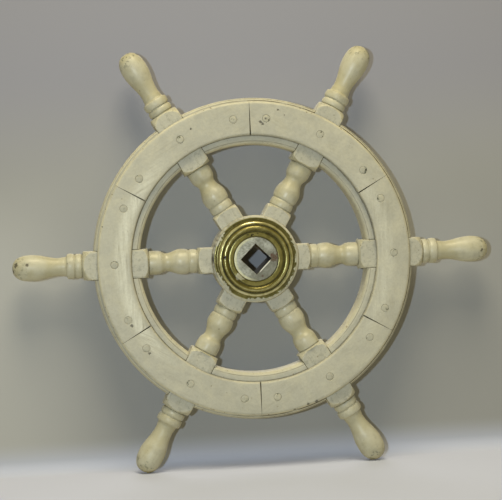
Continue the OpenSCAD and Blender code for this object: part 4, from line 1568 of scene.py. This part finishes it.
    def bolts(self) -> bpy.types.Object:
        """The six countersunk bolts with their slots.

        Returns:
            The piece.
        """
        rng = random.Random(5)
        y1, tip, half = -self.rear, -self.half - self.bolt_end, self.slot_half
        line = [(y1 - 0.1, 0), (y1 - 0.1, self.head_r - 0.3), (y1 - 0.4, self.head_r - 0.1),
                (y1 - self.head_h, self.bolt_r), (tip + 0.3, self.bolt_r),
                (tip, self.bolt_r - 0.3), (tip, 0)]
        master = spun("bolt_master", line, "Y", 40)
        cut(master, slab((-8, y1 - self.slot_depth, -half), (8, y1 + 1, half)))
        tidy(master)
        parts = []
        for i, (x, z) in enumerate(self.bolt_places()):
            part = copied(master, f"bolt_{i + 1}")
            part.data.transform(Matrix.Translation((x * MM, 0, z * MM))
                                @ Matrix.Rotation(rng.uniform(0, math.pi), 4, "Y"))
            parts.append(part)
        bpy.data.objects.remove(master, do_unlink=True)
        return dress(joined("hub_bolts_slotted", parts), self.bolt_brass, Slot.BOLT, "hub_bolts")

    def build(self) -> list[bpy.types.Object]:
        """Builds the hub's pieces in order.

        Returns:
            The pieces.
        """
        return [self.wooden_core(), self.front_plate(), self.rear_plate(), self.bush(),
                self.bolts()]


def seen_from(azimuth: float, elevation: float) -> Vector:
    """The way from the middle to a place, in degrees to the right of the front and upwards."""
    a, e = math.radians(azimuth), math.radians(elevation)
    return Vector((math.sin(a) * math.cos(e), -math.cos(a) * math.cos(e), math.sin(e)))


@dataclass(frozen=True)
class Lamp:
    """A lamp that looks at the middle of the wheel: square, or a round one if it has a beam.

    Angles are in degrees, distance and size in metres, power in watts.
    """

    name: str
    azimuth: float
    elevation: float
    distance: float
    size: float
    power: float
    colour: tuple[float, float, float]
    beam: float = 0.0

    def build(self) -> None:
        """Hangs the lamp."""
        light = bpy.data.lights.new(self.name, "SPOT" if self.beam else "AREA")
        if self.beam:
            light.shadow_soft_size = self.size / 2
            light.spot_size = math.radians(self.beam)
            light.spot_blend = 1.0
        else:
            light.size = self.size
        light.energy = self.power
        light.color = self.colour
        obj = bpy.data.objects.new(self.name, light)
        obj.location = seen_from(self.azimuth, self.elevation) * self.distance
        obj.rotation_euler = (-obj.location).to_track_quat("-Z", "Y").to_euler()
        bpy.context.scene.collection.objects.link(obj)


@dataclass
class Stage:
    """Floor, backdrop, lamps, world and camera. Lengths in metres.

    The key is small and cool, from the left, the overhead lamp is warm, and one fills the back.
    The world is brighter from below, as over a pale floor.
    """

    floor_z: float = -0.2683
    wall_y: float = 0.034
    sweep_r: float = 0.018
    reach: float = 3.0
    height: float = 2.4
    pale: Colour = srgb(162, 164, 169)
    painted_shade_top: Colour = srgb(152, 154, 170)
    painted_light_left: Colour = srgb(180, 182, 186)
    pale_floor: Colour = srgb(196, 203, 230)
    sky: Colour = (1.0, 0.86, 0.50, 1.0)
    sky_seen: Colour = srgb(206, 206, 202)
    lamps: tuple[Lamp, ...] = (
        Lamp("key", -14, 3, 2.2, 0.06, 66, (0.80, 0.93, 1.0), beam=48),
        Lamp("overhead", -3, 68, 2.2, 1.0, 38, (1.0, 0.88, 0.58)),
        Lamp("back_fill", 180, 25, 2.4, 1.6, 22, (1.0, 0.97, 0.9)))
    azimuth: float = -6.0
    elevation: float = 1.5
    roll: float = -2.37
    distance: float = 2.0
    aim: tuple[float, float, float] = (-0.0026, 0.0, 0.0108)
    focal_px: float = 1556.0

    def ground(self) -> None:
        """A pale floor that sweeps up into a backdrop, and a plain floor behind it."""
        y, z, r = self.wall_y, self.floor_z, self.sweep_r
        line = [(-self.reach, z), (y - r, z)]
        line += [(y - r + r * math.sin(a), z + r - r * math.cos(a)) for a in arc(8)[1:]]
        line.append((y, self.height))
        wall = draw("backdrop", [Vector((-self.reach, *at)) for at in line])
        bpy.ops.mesh.extrude_region_move(TRANSFORM_OT_translate={"value": (2 * self.reach, 0, 0)})
        only(wall)
        bpy.ops.object.shade_smooth_by_angle(angle=math.radians(60))
        self.face_up(wall, Vector((0, -0.7, 0.7)))
        bpy.ops.object.select_all(action="DESELECT")
        bpy.ops.mesh.primitive_plane_add(size=1)
        floor = bpy.context.object
        floor.name = "floor_behind"
        bpy.ops.object.mode_set(mode="EDIT")
        bpy.ops.mesh.select_all(action="SELECT")
        bpy.ops.transform.resize(value=(2 * self.reach, self.reach, 1))
        bpy.ops.transform.translate(value=(0, y - r + self.reach / 2, z - 5e-5))
        bpy.ops.object.mode_set(mode="OBJECT")
        material = self.backdrop_paint()
        for obj in (wall, floor):
            obj.data.materials.clear()
            obj.data.materials.append(material)

    @staticmethod
    def face_up(obj: bpy.types.Object, towards: Vector) -> None:
        """Turns a sheet's faces towards a direction."""
        if sum((p.normal.dot(towards) * p.area for p in obj.data.polygons), 0.0) < 0:
            edit(obj, whole=True)
            bpy.ops.mesh.flip_normals()
            only(obj)

    def backdrop_paint(self) -> bpy.types.Material:
        """Pale cloth that only the camera and reflections see, and only from its front, with
        painted light on its lower left and painted shade, darker and bluer, towards its top.

        Returns:
            The material.
        """
        material, tree, shader = new_material("pale backdrop")
        place = tree.add("TexCoord").outputs["Object"]
        x, _, z = tree.axes(place)
        dim = tuple(c * 0.94 for c in self.pale[:3]) + (1.0,)
        colour = tree.mix(tree.patches(place, 4.0, 0.3, 0.7, 2.0), self.pale, dim)
        # Painted light on the lower left of the backdrop, and painted shade towards its top
        left = tree.times(tree.span(x, -0.16, -0.34), tree.span(z, 0.14, 0.0))
        for where, tone in ((tree.span(z, 0.08, 0.26), self.painted_shade_top), (left, self.painted_light_left),
                            (tree.span(z, self.floor_z + 0.045, self.floor_z), self.pale_floor)):
            colour = tree.mix(where, colour, tone)
        for name, value in (("Base Color", colour), ("Roughness", 1.0),
                            ("Specular IOR Level", 0.0)):
            tree.feed(shader.inputs[name], value)
        path = tree.add("LightPath")
        seen = tree.most(path.outputs["Is Camera Ray"], path.outputs["Is Glossy Ray"])
        seen = tree.most(seen, path.outputs["Is Transmission Ray"])
        back = tree.add("NewGeometry").outputs["Backfacing"]
        shown = tree.times(seen, tree.minus(1.0, back))
        tree.blend(shown, tree.add("BsdfTransparent"), shader, tree.out)
        return material

    def light(self) -> None:
        """Hangs the lamps and makes the world."""
        for lamp in self.lamps:
            lamp.build()
        world = bpy.data.worlds.new("studio")
        world.use_nodes = True
        world.node_tree.nodes.clear()
        tree = Tree(world.node_tree)
        _, _, z = tree.axes(tree.add("TexCoord").outputs["Generated"])
        strength = tree.span(z, -0.7, 0.1, 0.47, 0.25)
        base = tree.add("Background", {"Color": self.sky, "Strength": strength})
        shown = tree.add("Background", {"Color": self.sky_seen, "Strength": 1.0})
        tree.blend(tree.add("LightPath").outputs["Is Camera Ray"], base, shown,
                   tree.add("OutputWorld"))
        bpy.context.scene.world = world

    def camera(self) -> None:
        """Puts the camera where the photograph was taken from."""
        a, t = math.radians(self.azimuth), math.radians(self.roll)
        back = seen_from(self.azimuth, self.elevation)
        right = Vector((math.cos(a), math.sin(a), 0.0))
        up = back.cross(right)
        tilted_right = right * math.cos(t) + up * math.sin(t)
        tilted_up = up * math.cos(t) - right * math.sin(t)
        data = bpy.data.cameras.new("camera")
        data.sensor_width = 36.0
        data.lens = self.focal_px / PHOTO_W * data.sensor_width
        data.clip_end = 50.0
        obj = bpy.data.objects.new("camera", data)
        turn = Matrix((tilted_right, tilted_up, back)).transposed().to_4x4()
        obj.matrix_world = Matrix.Translation(Vector(self.aim) + back * self.distance) @ turn
        bpy.context.scene.collection.objects.link(obj)
        bpy.context.scene.camera = obj

    def build(self) -> None:
        """Sets the stage."""
        self.camera()
        self.ground()
        self.light()
        bpy.context.scene.view_settings.view_transform = "Standard"


def main() -> None:
    """Builds the wheel's sub-assemblies in order, dresses them and sets the stage."""
    logging.basicConfig(level=logging.INFO, format="%(name)s: %(message)s")
    only(next(iter(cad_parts.values())))
    fx = Effects()
    paint = PaintFinish("cream paint").make(fx)
    plug_paint = PaintFinish("cream paint on end grain", flat=srgb(178, 177, 164),
                             flat_pale=srgb(186, 185, 172)).make(fx)
    brass = BrassFinish("tarnished brass").make(fx)
    plain_brass = BrassFinish("plain tarnished brass", moulded=False).make(fx)
    bush_metal = BushFinish("dull grey metal").make(fx)
    bolt_brass = BrassFinish("bolt brass", moulded=False, gold=srgb(158, 142, 70)).make(fx)
    screw_brass = BrassFinish("screw brass", moulded=False, olive=srgb(120, 104, 50)).make(fx)

    Stage().build()
    for part in (Spokes(paint), Rim(paint, plug_paint),
                 Hub(paint, brass, plain_brass, bush_metal, bolt_brass)):
        for piece in part.build():
            LOG.info("%s: %d faces", piece.name, len(piece.data.polygons))
    for name in ("front_screws", "rear_screws"):
        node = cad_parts[name]
        for material_slot in node.material_slots:
            material_slot.material = screw_brass
        LOG.info("%s keeps its CAD shape", name)


if __name__ == "__main__":
    main()
